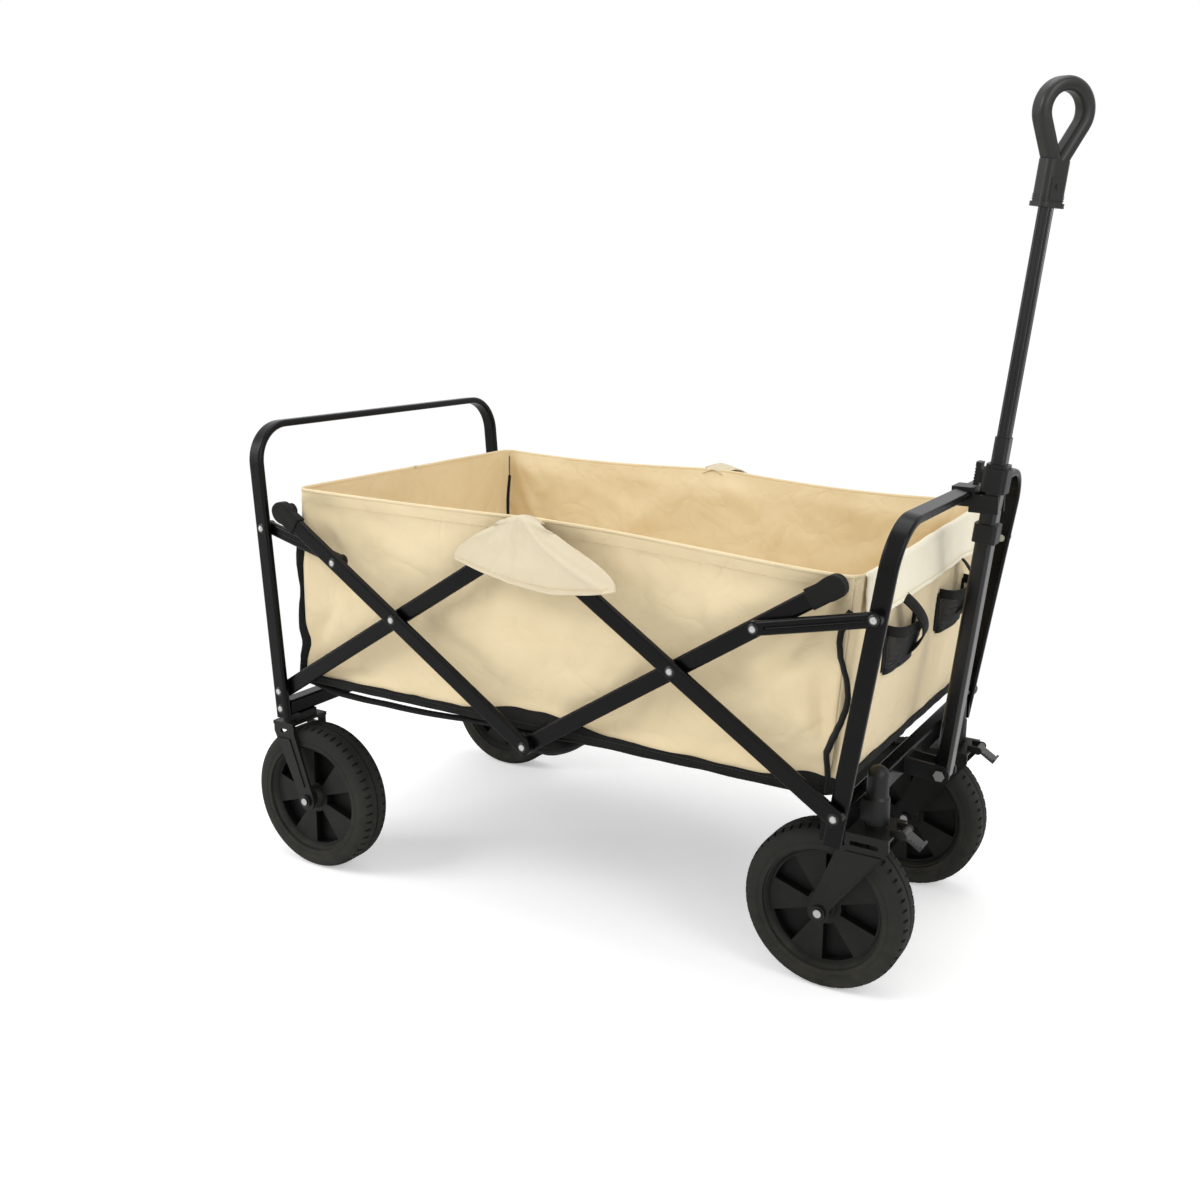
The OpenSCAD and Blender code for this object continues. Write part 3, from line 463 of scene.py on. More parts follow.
def grid_piece(name, points, uv, m, thickness=0.0014, levels=1, flip=False):
    """Cloth sheet from a (columns, rows, 3) array of points."""
    columns, rows = points.shape[:2]
    faces = grid_faces(columns, rows)
    if flip:
        faces = [f[::-1] for f in faces]
    o = new_piece(name, mesh_from(name, points.reshape(-1, 3), faces, uv.reshape(-1, 2)), m)
    if levels:
        s = o.modifiers.new("smooth", "SUBSURF")
        s.levels = s.render_levels = levels
    s = o.modifiers.new("cloth", "SOLIDIFY")
    s.thickness, s.offset = thickness, 0
    return o


def sheet_uv(across, down):
    """UV grid from the places of the columns and of the rows, in metres."""
    uv = np.zeros((len(across), len(down), 2))
    uv[:, :, 0] = np.asarray(across)[:, None]
    uv[:, :, 1] = np.asarray(down)[None, :]
    return uv


def sweep(name, path, profile, m, closed=False, up=Vector((0, 0, 1))):
    """Carries a profile, (side, up) pairs, along a path of points, and closes the ends."""
    path = [Vector(p) for p in path]
    count, sides = len(path), len(profile)
    points, uv, run = [], [], 0.0
    around = [0.0]
    for a, b in zip(profile, profile[1:]):
        around.append(around[-1] + math.dist(a, b))
    for i, p in enumerate(path):
        before = path[i - 1] if i or closed else path[i]
        after = path[(i + 1) % count] if i < count - 1 or closed else path[i]
        tangent = (after - before).normalized()
        side = tangent.cross(up)
        if side.length < 1e-6:
            side = tangent.cross(Vector((1, 0, 0)))
        side.normalize()
        lift = side.cross(tangent).normalized()
        if i:
            run += (p - path[i - 1]).length
        for (a, b), w in zip(profile, around):
            points.append(p + side * a + lift * b)
            uv.append((w, run))
    faces = []
    for i in range(count if closed else count - 1):
        here, there = i * sides, (i + 1) % count * sides
        for k in range(sides):
            beside = (k + 1) % sides
            faces.append((here + k, here + beside, there + beside, there + k))
    if not closed:
        faces.append(tuple(range(sides))[::-1])
        faces.append(tuple((count - 1) * sides + k for k in range(sides)))
    return closed_piece(name, points, faces, uv, m)


def oval(width, height, sides=10):
    """A cord's or a hem's section."""
    turns = [2 * math.pi * k / sides for k in range(sides)]
    return [(width / 2 * math.cos(a), height / 2 * math.sin(a)) for a in turns]


def flat_band(width, height):
    """Webbing's section: a rectangle with its corners cut off."""
    w, h = width / 2, height / 2
    c = min(w, h) * 0.3
    right = [(w, -h + c), (w, h - c), (w - c, h)]
    left = [(-w + c, h), (-w, h - c), (-w, -h + c), (-w + c, -h)]
    return right + left + [(w - c, -h)]


def join_pieces(name, parts):
    """Joins finished plain meshes into one piece."""
    bm = bmesh.new()
    mats = []
    for o in parts:
        offset = len(bm.faces)
        bm.from_mesh(o.data)
        bm.faces.ensure_lookup_table()
        mats += [m for m in o.data.materials if m not in mats]
        for f in bm.faces[offset:]:
            f.material_index = mats.index(o.data.materials[f.material_index])
    mesh = bpy.data.meshes.new(name)
    bm.to_mesh(mesh)
    bm.free()
    for o in parts:
        bpy.data.objects.remove(o)
    for m in mats:
        mesh.materials.append(m)
    return new_piece(name, mesh, None)


# ---------------------------------------------------------------- geometry node trees
def geometry_tree(name, inputs):
    return node_group("GeometryNodeTree", name, [("Geometry", GEOMETRY, None)] + inputs,
                      [("Geometry", GEOMETRY)])


def end_tree(t, made):
    """Makes the instances real, and gives them the thread's material."""
    real = t.add("GeometryNodeRealizeInstances")
    t.join(made, real.inputs[0])
    finish = t.add("GeometryNodeSetMaterial")
    t.join(real.outputs[0], finish.inputs["Geometry"])
    t.join(t.given["Thread"], finish.inputs["Material"])
    t.join(finish.outputs[0], t.result["Geometry"])


def make_stitch_tree():
    """Short threads at an even pitch along an edge path."""
    g, t = geometry_tree("stitch_row", [
        ("Pitch", NUMBER, 0.006), ("Stitch Length", NUMBER, 0.004),
        ("Thread Radius", NUMBER, 0.0005), ("Thread", MATERIAL, None)])
    curve = t.add("GeometryNodeMeshToCurve")
    t.join(t.given["Geometry"], curve.inputs[0])
    even = t.add("GeometryNodeResampleCurve", mode="LENGTH")
    t.join(curve.outputs[0], even.inputs["Curve"])
    t.join(t.given["Pitch"], even.inputs["Length"])
    thread = t.add("GeometryNodeMeshCylinder")
    thread.inputs["Vertices"].default_value = 6
    t.join(t.given["Thread Radius"], thread.inputs["Radius"])
    t.join(t.given["Stitch Length"], thread.inputs["Depth"])
    tangent = t.add("GeometryNodeInputTangent")
    turn = t.add("FunctionNodeAlignRotationToVector", axis="Z")
    t.join(tangent.outputs[0], turn.inputs["Vector"])
    row = t.add("GeometryNodeInstanceOnPoints")
    t.join(even.outputs[0], row.inputs["Points"])
    t.join(thread.outputs["Mesh"], row.inputs["Instance"])
    t.join(turn.outputs[0], row.inputs["Rotation"])
    end_tree(t, row.outputs[0])
    return g


def make_net_tree():
    """A knitted net: every edge of a sheet becomes a thin thread."""
    g, t = geometry_tree("knitted_net", [
        ("Thread Radius", NUMBER, 0.0004), ("Thread", MATERIAL, None)])
    curve = t.add("GeometryNodeMeshToCurve")
    t.join(t.given["Geometry"], curve.inputs[0])
    ring = t.add("GeometryNodeCurvePrimitiveCircle", mode="RADIUS")
    ring.inputs["Resolution"].default_value = 4
    t.join(t.given["Thread Radius"], ring.inputs["Radius"])
    threads = t.add("GeometryNodeCurveToMesh")
    t.join(curve.outputs[0], threads.inputs["Curve"])
    t.join(ring.outputs[0], threads.inputs["Profile Curve"])
    end_tree(t, threads.outputs[0])
    return g


stitch_tree, net_tree = make_stitch_tree(), make_net_tree()


def from_tree(name, source, tree, values):
    """Runs a tree on a source mesh and keeps the result as a plain piece."""
    carrier = bpy.data.objects.new("carrier", source)
    scene.collection.objects.link(carrier)
    modifier = carrier.modifiers.new("made", "NODES")
    modifier.node_group = tree
    for item in tree.interface.items_tree:
        if item.in_out == "INPUT" and item.name in values:
            modifier[item.identifier] = values[item.name]
    mesh = finished_mesh(carrier)
    mesh.name = name
    bpy.data.objects.remove(carrier)
    return new_piece(name, mesh, None)


def stitches(name, paths, thread):
    """Rows of stitches, one along each path of points."""
    points, edges = [], []
    for path in paths:
        start = len(points)
        points += [tuple(p) for p in path]
        edges += [(start + i, start + i + 1) for i in range(len(path) - 1)]
    mesh = bpy.data.meshes.new("path")
    mesh.from_pydata(points, edges, [])
    return from_tree(name, mesh, stitch_tree, {
        "Pitch": 0.0045, "Stitch Length": 0.0032, "Thread Radius": 0.00035, "Thread": thread})


# ---------------------------------------------------------------- measures from the frame
tub_low, tub_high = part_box("tub")
board_low, board_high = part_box("floor_boards")
arm_low, arm_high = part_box("inner_rear_arm_left")
flap_low, flap_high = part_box("side_flaps")
pocket_low, pocket_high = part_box("front_pockets")
sleeve_low, sleeve_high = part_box("centre_sleeves")
rear_cap_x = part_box("rear_corner_caps")[0].x
front_cap_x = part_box("front_corner_caps")[1].x
outer_arm_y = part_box("outer_rear_arm_left")[1].y

wall_y = tub_high.y - 0.001
rim_z = tub_high.z - 0.001
floor_z = tub_low.z + 0.0006
middle_x = (flap_low.x + flap_high.x) / 2
rear_rim_x = rear_cap_x + 0.022
rear_floor_x = tub_low.x + 0.024
front_rim_x = front_cap_x + 0.008
front_floor_x = tub_high.x - 0.0385
half_length = front_rim_x - middle_x


def smooth_step(x):
    """Rises softly from 0 to 1 as x does, and stays there."""
    x = min(1, max(0, x))
    return x * x * (3 - 2 * x)


def bell(x, middle, width):
    """A soft hump of height 1 at the middle."""
    return math.exp(-((x - middle) / width) ** 2)


# ---------------------------------------------------------------- canvas walls of the tub
CORNER = 0.014
CORNER_POINTS = 5
STEP = 0.0075       # between the points of the cloth


def perimeter(rear, front, half, count_long, count_short):
    """Rounded rectangle, anticlockwise from the middle of the rear wall.

    Gives its points, and the index of the middle of each corner.
    """
    points, corners = [], []
    c = CORNER

    def line(a, b, n):
        for i in range(n):
            points.append(np.array(a) + (np.array(b) - np.array(a)) * (i / n))

    def turn(cx, cy, start):
        corners.append(len(points) + CORNER_POINTS // 2)
        for i in range(CORNER_POINTS):
            a = math.radians(start + 90 * i / CORNER_POINTS)
            points.append(np.array((cx + c * math.cos(a), cy + c * math.sin(a))))

    line((rear, 0), (rear, -half + c), count_short // 2)
    turn(rear + c, -half + c, 180)
    line((rear + c, -half), (front - c, -half), count_long)
    turn(front - c, -half + c, 270)
    line((front, -half + c), (front, half - c), count_short)
    turn(front - c, half - c, 0)
    line((front - c, half), (rear + c, half), count_long)
    turn(rear + c, half - c, 90)
    line((rear, half - c), (rear, 0), count_short // 2)
    return np.array(points), corners


LONG = int((front_rim_x - rear_rim_x) / STEP)
SHORT = int(2 * wall_y / STEP) // 2 * 2
ROWS = int((rim_z - floor_z) / STEP) + 1
rim_line, corner_at = perimeter(rear_rim_x, front_rim_x, wall_y, LONG, SHORT)
floor_line, _ = perimeter(rear_floor_x, front_floor_x, wall_y - 0.003, LONG, SHORT)
rear_near, front_near, front_far, rear_far = corner_at
COLUMNS = len(rim_line)


def rim_height(x, y):
    """The rim sinks from the upper middle pivots to the front corners, more so on the right side."""
    to_front = smooth_step((x - middle_x) / half_length)
    right = 0.5 - 0.5 * y / wall_y
    sag = 0.004 * math.sin(math.pi * min(1, abs(x - middle_x) / half_length))
    return rim_z - to_front * (0.007 + 0.011 * right) - sag


def cloth_noise(x, z, seed):
    """Soft folds from 0 to about 1: broad swells, and sharper diagonal wrinkles between them."""
    broad = noise.noise(Vector((x * 6 + z * 4, z * 7, seed)))
    slant = noise.noise(Vector((x * 11 + z * 8, z * 15 - x * 4, seed + 5)))
    fine = noise.noise(Vector((x * 30 - z * 12, z * 26, seed + 9)))
    return 0.42 + 0.42 * broad + 0.55 * (0.5 - abs(slant)) + 0.18 * (0.5 - abs(fine))


def crease(x, z, start, angle, length, width):
    """A fold that fades along its length, as seen square to the wall."""
    dx, dz = x - start[0], z - start[1]
    c, s = math.cos(math.radians(angle)), math.sin(math.radians(angle))
    along, across = dx * c + dz * s, -dx * s + dz * c
    if along < 0 or along > length:
        return 0
    grow = width * (1 + 1.5 * along / length)
    return math.exp(-(across / grow) ** 2) * math.sin(math.pi * along / length) ** 0.7


# where a fold starts, its angle in degrees, and its length, width and depth
rear_tip_at = (rear_rim_x + 0.012, rim_z - 0.012)
front_tip_at = (front_rim_x - 0.02, rim_z - 0.03)
wall_creases = [
    (rear_tip_at, -14, 0.27, 0.012, 0.0075), (rear_tip_at, -31, 0.22, 0.010, 0.0065),
    (rear_tip_at, -60, 0.17, 0.007, 0.0055), (front_tip_at, 187, 0.30, 0.014, 0.0085),
    (front_tip_at, 206, 0.24, 0.010, 0.0070), (front_tip_at, 235, 0.18, 0.007, 0.0065),
    ((front_rim_x - 0.046, floor_z + 0.135), -84, 0.09, 0.005, 0.0100),
    ((front_rim_x - 0.06, floor_z + 0.09), -50, 0.09, 0.006, 0.0060),
    ((rear_rim_x + 0.05, floor_z + 0.10), 230, 0.09, 0.006, 0.0050),
    ((middle_x + 0.02, rim_z - 0.02), -30, 0.24, 0.014, 0.0090),
    ((middle_x - 0.02, rim_z - 0.02), 212, 0.24, 0.014, 0.0090),
    ((middle_x + 0.10, floor_z + 0.07), 14, 0.18, 0.010, 0.0060),
    ((middle_x - 0.05, floor_z + 0.05), 160, 0.17, 0.009, 0.0055)]
NEAR_SEED, FAR_SEED, END_SEED = 1.0, 11.0, 21.0


def inward_fold(x, z, t, seed):
    """How far a side wall's folds reach in from its flat plane, t of the way up, in metres."""
    quiet = smooth_step(t * 7) * smooth_step((1 - t) * 9)
    ends = smooth_step((x - rear_rim_x) / 0.05) * smooth_step((front_rim_x - x) / 0.05)
    depth = 0.015 * cloth_noise(x, z, seed) * quiet * ends
    share = 1 if seed == NEAR_SEED else 0.8
    for start, angle, length, width, fold in wall_creases:
        depth += fold * crease(x, z, start, angle, length, width) * share
    to_front = (x - middle_x - 0.03) / (half_length - 0.05)
    lean = 0.014 * math.sin(math.pi * min(1, max(0, to_front)))
    to_rear = (middle_x - 0.03 - x) / (half_length - 0.05)
    lean += 0.008 * math.sin(math.pi * min(1, max(0, to_rear)))
    return depth + lean * smooth_step((t - 0.80) / 0.2)


def hand_folded_walls():
    """The walls from floor to rim, with the folds that carrying and folding leave in them."""
    p = np.zeros((COLUMNS, ROWS, 3))
    for i in range(COLUMNS):
        (x0, y0), (x1, y1) = floor_line[i], rim_line[i]
        top = rim_height(x1, y1)
        for j in range(ROWS):
            t = j / (ROWS - 1)
            x, y, z = x0 + (x1 - x0) * t, y0 + (y1 - y0) * t, floor_z + (top - floor_z) * t
            side = smooth_step((abs(y) - wall_y + 0.012) / 0.006)
            y -= math.copysign(inward_fold(x, z, t, NEAR_SEED if y < 0 else FAR_SEED), y) * side
            belly = 0.007 * math.sin(math.pi * t) + 0.006 * (cloth_noise(y, z, END_SEED) - 0.5)
            fade = (1 - side) * smooth_step((wall_y - abs(y)) / 0.05)
            x += math.copysign(belly * fade, x - middle_x)
            p[i, j] = (x, y, z)
    return p


def held_points():
    """1 where the cloth is held: along the floor and the rim, in the corners and at the pivots."""
    held = np.zeros((COLUMNS, ROWS))
    held[:, [0, ROWS - 1]] = 1
    for i, at in enumerate(rim_line):
        near_corner = np.linalg.norm(rim_line[corner_at] - at, axis=1).min() < 0.02
        near_pivot = abs(at[1]) > wall_y - 0.004 and abs(at[0] - middle_x) < 0.02
        for j in range(ROWS):
            drop = (ROWS - 1 - j) * STEP
            if (near_corner and drop < 0.04) or (near_pivot and drop < 0.014):
                held[i, j] = 1
    return held


def settle(points, held, frames=22, slack=-0.016):
    """Lets the walls, cut a little larger than their frame, hang from the points that are held."""
    mesh = bpy.data.meshes.new("settling")
    mesh.from_pydata([tuple(p) for p in points.reshape(-1, 3)], [],
                     grid_faces(COLUMNS, ROWS, closed=True))
    o = bpy.data.objects.new("settling", mesh)
    scene.collection.objects.link(o)
    group = o.vertex_groups.new(name="held")
    for k in np.flatnonzero(held.ravel()):
        group.add([int(k)], 1.0, "REPLACE")
    c = o.modifiers.new("cloth", "CLOTH")
    cloth = c.settings
    cloth.vertex_group_mass = "held"
    cloth.quality = 8
    cloth.mass = 0.25
    cloth.tension_stiffness = cloth.compression_stiffness = 22
    cloth.shear_stiffness = 8
    cloth.bending_stiffness = 0.5
    cloth.tension_damping = cloth.compression_damping = 14
    cloth.air_damping = 4
    cloth.shrink_min = slack
    c.collision_settings.use_collision = False
    c.collision_settings.use_self_collision = False
    c.point_cache.frame_start, c.point_cache.frame_end = 1, frames
    scene.frame_start, scene.frame_end = 1, frames
    for f in range(1, frames + 1):
        scene.frame_set(f)
    e = o.evaluated_get(bpy.context.evaluated_depsgraph_get())
    co = np.zeros(len(e.data.vertices) * 3)
    e.data.vertices.foreach_get("co", co)
    scene.frame_set(1)
    bpy.data.objects.remove(o)
    return co.reshape(points.shape)


SETTLED_SHARE = 0.35    # the pressed folds stay in the cloth, so it settles only part of the way
STIFF_ROWS = 4          # above the floor, where the foot band stiffens the cloth

hand_folded = hand_folded_walls()
walls = hand_folded.copy()
walls += (settle(hand_folded, held_points()) - hand_folded) * SETTLED_SHARE
for j in range(STIFF_ROWS):
    share = j / (STIFF_ROWS + 1)
    walls[:, j] = hand_folded[:, j] + (walls[:, j] - hand_folded[:, j]) * share

# the walls stay inside the arms, the end frames and the rim's height
limit_y = arm_low.y - 0.0012
lean_limit = front_floor_x + 0.003 + (walls[:, :, 2] - floor_z) * 0.15
walls[:, :, 1] = np.clip(walls[:, :, 1], -limit_y, limit_y)
walls[:, :, 0] = np.clip(walls[:, :, 0], tub_low.x + 0.004, tub_high.x - 0.002)
walls[:, :, 0] = np.minimum(walls[:, :, 0], lean_limit)
walls[:, :, 2] = np.clip(walls[:, :, 2], floor_z, tub_high.z + 0.002)

run = np.concatenate([[0], np.cumsum(np.linalg.norm(np.diff(rim_line, axis=0), axis=1))])
wall_uv = sheet_uv(run, np.arange(ROWS) * (rim_z - floor_z) / (ROWS - 1))


def wall_panel(name, first, last, past_seam=False):
    """One wall, from corner to corner, and how wide it is cut; the rear one passes the run's end."""
    index = [k % COLUMNS for k in range(first, last + 1)]
    uv = wall_uv[index].copy()
    if past_seam:
        uv[:, :, 0] = (np.arange(len(index)) * STEP)[:, None]
    return grid_piece(name, walls[index], uv, canvas), float(np.ptp(uv[:, 0, 0]))


canvas_walls = [
    wall_panel("near_wall", rear_near, front_near), wall_panel("front_wall", front_near, front_far),
    wall_panel("far_wall", front_far, rear_far),
    wall_panel("rear_wall", rear_far, rear_near + COLUMNS, past_seam=True)]


# ---------------------------------------------------------------- hems, bindings and foot band
def outward_at(i):
    """Level direction out of the tub at a column of the walls."""
    a, b = rim_line[i - 1], rim_line[(i + 1) % COLUMNS]
    d = (b - a) / np.linalg.norm(b - a)
    return Vector((d[1], -d[0], 0))


def ring_path(row, out=0.0, up=0.0, ends_meet=False):
    """Round the walls along a row of their points; the last point repeats the first if ends meet."""
    return [Vector(walls[i % COLUMNS, row]) + outward_at(i % COLUMNS) * out + Vector((0, 0, up))
            for i in range(COLUMNS + (1 if ends_meet else 0))]


def corner_path(i, wave, out, short_by):
    """Up a corner, swaying a little to both sides of it."""
    path = []
    for j in range(ROWS - short_by):
        t = j / (ROWS - 1)
        at = i + wave * math.sin(t * 11 + i) * smooth_step(t * 5) * smooth_step((1 - t) * 5)
        a = int(math.floor(at))
        f = at - a
        q = walls[a % COLUMNS, j] * (1 - f) + walls[(a + 1) % COLUMNS, j] * f
        path.append(Vector(q) + outward_at(int(round(at)) % COLUMNS) * out)
    return path


def binding(i):
    """Black tape up a corner, wavy as the cloth is, and more so on the right side."""
    wave = 1.7 if rim_line[i][1] < 0 else 0.5
    return sweep("binding", corner_path(i, wave, 0.0030, 5), oval(0.0056, 0.0135), black_webbing,
                 up=outward_at(i))


def seam(i):
    """Sewn edge up the inside of a corner."""
    return sweep("seam", corner_path(i, 0, -0.0012, 1), oval(0.0012, 0.0014, 6), dark_thread,
                 up=outward_at(i))


def foot_band_piece():
    """The black floor cloth turned up round the walls: highest at the middle and the front."""
    levels = 7
    p = np.zeros((COLUMNS + 1, levels, 3))
    for i in range(COLUMNS + 1):
        k = i % COLUMNS
        x, y = floor_line[k]
        on_side = smooth_step((abs(y) - wall_y + 0.02) / 0.01)
        middle = bell(x, middle_x, 0.075)
        front = bell(x, front_floor_x - 0.02, 0.035)
        waves = noise.noise(Vector((x * 30, y * 30, 3)))
        height = 0.0075 + on_side * (0.013 * middle + 0.012 * front) + 0.0025 * waves
        for j in range(levels):
            v = j / (levels - 1)
            row = v * height / STEP
            a = int(row)
            q = walls[k, a] * (1 - row + a) + walls[k, a + 1] * (row - a)
            lift = 0.0022 + 0.0012 * noise.noise(Vector((x * 50, y * 50, v * 2)))
            q = Vector(q) + outward_at(k) * lift
            if j == 0:
                q.z -= 0.0035
            p[i, j] = q
    uv = sheet_uv(np.append(run, run[-1] + STEP), np.linspace(0, 0.02, levels))
    return grid_piece("foot_band", p, uv, black_webbing, thickness=0.0022, flip=True)


def hanging_strap(side):
    """Webbing under a side edge of the floor: clear of it at the rear, and close at the front."""
    path = []
    for k in range(61):
        w = k / 60
        x = rear_floor_x + 0.012 + (front_floor_x - rear_floor_x - 0.02) * w
        rear = smooth_step(w / 0.08) * smooth_step((0.52 - w) / 0.3)
        drop = 0.0035 + 0.010 * rear + 0.005 * bell(x, middle_x, 0.05)
        drop += 0.0012 * noise.noise(Vector((x * 25, side, 0)))
        path.append(Vector((x, side * (wall_y - 0.006), floor_z - drop)))
    return sweep("strap", path, flat_band(0.014, 0.0026), black_webbing)


rim_hem = sweep("rim_hem", ring_path(ROWS - 1), oval(0.0024, 0.005), canvas, closed=True)
hem_stitches = stitches("hem_stitches", [ring_path(ROWS - 3, 0.0012, ends_meet=True)],
                        canvas_thread)
corner_bindings = join_pieces("corner_bindings", [binding(i) for i in corner_at])
inner_seams = join_pieces("inner_seams", [seam(i) for i in corner_at])
foot_band = foot_band_piece()
foot_stitches = stitches("foot_stitches", [ring_path(0, 0.0038, 0.0045, ends_meet=True)],
                         net_thread)
side_straps = join_pieces("side_straps", [hanging_strap(-1), hanging_strap(1)])


# ---------------------------------------------------------------- floor and what hangs under it
def centre_pouch(side):
    """Black padded cloth that hangs round the centre tube, gathered at its ends."""
    axis_x, axis_z = (sleeve_low.x + sleeve_high.x) / 2, (sleeve_low.z + sleeve_high.z) / 2
    columns, around = 30, 36
    points = []
    for i in range(columns):
        u = i / (columns - 1)
        y = sleeve_high.y - 0.09 * u
        fat = 0.55 + 0.45 * math.sin(math.pi * min(1, u * 1.02)) ** 0.5
        for k in range(around):
            a = 2 * math.pi * k / around
            wave = noise.noise(Vector((math.cos(a) * 2.2, math.sin(a) * 2.2, u * 4 + side)))
            swell = fat * (1 + 0.10 * wave)
            x = axis_x + 0.012 + 0.034 * swell * math.cos(a)
            z = axis_z - 0.002 + 0.0165 * swell * math.sin(a)
            points.append((x, side * y, min(z, floor_z - 0.001)))
    faces = []
    for i in range(columns - 1):
        for k in range(around):
            a, b = i * around + k, i * around + (k + 1) % around
            faces.append((a, b, b + around, a + around))
    faces += [tuple(range(around))[::-1], tuple((columns - 1) * around + k for k in range(around))]
    uv = [((k % around) * 0.004, (k // around) * 0.003) for k in range(columns * around)]
    return closed_piece("pouch", points, faces, uv, black_webbing)


def floor_sheet():
    """The black cloth that closes the tub below, a little uneven."""
    columns, rows = 60, 34
    half = wall_y - 0.003
    p = np.zeros((columns, rows, 3))
    for i in range(columns):
        for j in range(rows):
            x = rear_floor_x + (front_floor_x - rear_floor_x) * i / (columns - 1)
            y = -half + 2 * half * j / (rows - 1)
            from_edge = min(i, columns - 1 - i, j, rows - 1 - j) / 5
            wave = 0.0008 * noise.noise(Vector((x * 14, y * 14, 0)))
            p[i, j] = (x, y, floor_z - 0.0006 + wave - 0.0004 * min(1, from_edge))
    return grid_piece("floor_cloth", p, p[:, :, :2].copy(), black_webbing, thickness=0.001, levels=0)


def padded_board(start, end):
    """One stiff board in its canvas cover, from start to end along the cart: crowned top, thin edges."""
    columns, rows = 26, 44
    low = Vector((start, board_low.y, board_low.z))
    high = Vector((end, board_high.y, board_high.z + 0.001))
    top, bottom = [], []
    for i in range(columns):
        for j in range(rows):
            u, v = i / (columns - 1), j / (rows - 1)
            x, y = low.x + (high.x - low.x) * u, low.y + (high.y - low.y) * v
            edge = min(1, min(u, 1 - u) * 9, min(v, 1 - v) * 18)
            swell = math.sqrt(max(0, 1 - (1 - edge) ** 2))
            wave = noise.noise(Vector((x * 18, y * 18, 2))) * 0.0006
            top.append((x, y, low.z + 0.0025 + (high.z - low.z - 0.0025 + wave) * swell))
            bottom.append((x, y, low.z + 0.0022 * (1 - swell)))
    points, count = top + bottom, columns * rows
    faces = grid_faces(columns, rows)
    faces += [tuple(k + count for k in f[::-1]) for f in faces]
    ring = [i * rows for i in range(columns)]
    ring += [(columns - 1) * rows + j for j in range(1, rows)]
    ring += [i * rows + rows - 1 for i in range(columns - 2, -1, -1)]
    ring += list(range(rows - 2, 0, -1))
    for a, b in zip(ring, ring[1:] + ring[:1]):
        faces.append((a, b, b + count, a + count))
    return closed_piece("board", points, faces, [(p[0], p[1]) for p in points], canvas)


def board_ends():
    """(start, end) of each stiff board along the cart."""
    x = sorted({round(v.co.x, 5) for v in nodes["floor_boards"].data.vertices})
    return list(zip(x[::2], x[1::2]))


centre_pouches = join_pieces("centre_pouches", [centre_pouch(-1), centre_pouch(1)])
floor_cloth = floor_sheet()
floor_mat = join_pieces("floor_mat", [padded_board(a, b) for a, b in board_ends()])


# ---------------------------------------------------------------- side flaps
FLAP_REAR, FLAP_FRONT = 0.088, 0.128    # how far a flap's lower corners reach from the pivot
FLAP_TOP = 0.016                        # half its width where it is sewn on


def flap_drop(u):
    """Share of the flap's full drop at its lower edge, from the rear corner, -1, to the front, 1."""
    if u < 0.35:
        return 0.60 + 0.40 * math.sin(math.pi / 2 * (u + 1) / 1.35)
    return 1 - 0.26 * ((u - 0.35) / 0.65) ** 1.4


def flap_folds(u, v):
    """How far the flap's pleats stand out, fanning down from the pivot."""
    front_fold = bell(u, 0.05 + 0.85 * v, 0.055) * 0.0030
    rear_fold = bell(u, -0.20 + 0.10 * v, 0.10) * 0.0018
    hollow = bell(u, -0.12 + 0.62 * v, 0.15) * 0.0026
    pleats = 0.0007 * math.sin(u / (0.25 + v) * 9) * v
    return (front_fold + rear_fold - hollow + pleats) * smooth_step((v - 0.12) * 3)


def side_flap(name, sign):
    """Cloth hood over an upper middle pivot: from inside the rim over the arms, and down outside."""
    columns, rows = 57, 36
    p = np.zeros((columns, rows, 3))
    inside, outside = wall_y - 0.003, outer_arm_y + 0.0062
    hem_drop = (rim_z - flap_low.z) * 0.93
    over = 0.26
    for i in range(columns):
        u = -1 + 2 * i / (columns - 1)
        for j in range(rows):
            v = j / (rows - 1)
            open_out = smooth_step(v * 1.02) ** 0.85
            reach = FLAP_REAR if u < 0 else FLAP_FRONT
            x = middle_x + u * (FLAP_TOP + (reach - FLAP_TOP) * open_out)
            crown = rim_z + 0.001 - 0.007 * abs(u) ** 1.4
            if v < over:
                a = v / over * math.pi / 2
                y = inside + (outside - inside) * math.sin(a) ** 0.8
                z = crown + 0.006 * math.sin(a * 2) ** 0.8
            else:
                d = (v - over) / (1 - over)
                y = outside + 0.002 * math.sin(d * 2.4) - 0.005 * abs(u) ** 3 * (1 - d)
                z = crown - hem_drop * d * flap_drop(u)
            soft = noise.noise(Vector((x * 26, sign * 3.7, z * 30))) * 0.0034
            soft *= smooth_step((v - 0.2) * 3)
            y = min(y + flap_folds(u, v) + soft, outside + 0.0075)
            p[i, j] = (x, sign * y, z + soft * 0.4)
    down = np.linalg.norm(np.diff(p[columns // 2], axis=0), axis=1)
    uv = sheet_uv(np.linspace(-FLAP_REAR, FLAP_FRONT, columns), np.concatenate([[0], np.cumsum(down)]))
    return grid_piece(name, p, uv, flap_canvas, thickness=0.0016, flip=sign > 0), p


near_flap, near_points = side_flap("flap_right", -1)
far_flap, far_points = side_flap("flap_left", 1)
flap_hems, flap_rows = [], []
for points, sign in ((near_points, -1), (far_points, 1)):
    edge = [Vector(q) for q in points[:, -1]]
    flap_hems.append(sweep("hem", edge, oval(0.0026, 0.0032), flap_canvas, up=Vector((0, sign, 0))))
    flap_rows.append([Vector(q) + Vector((0, sign * 0.0014, 0)) for q in points[2:-2, -3]])
flap_hem = join_pieces("flap_hems", flap_hems)
flap_stitches = stitches("flap_stitches", flap_rows, canvas_thread)


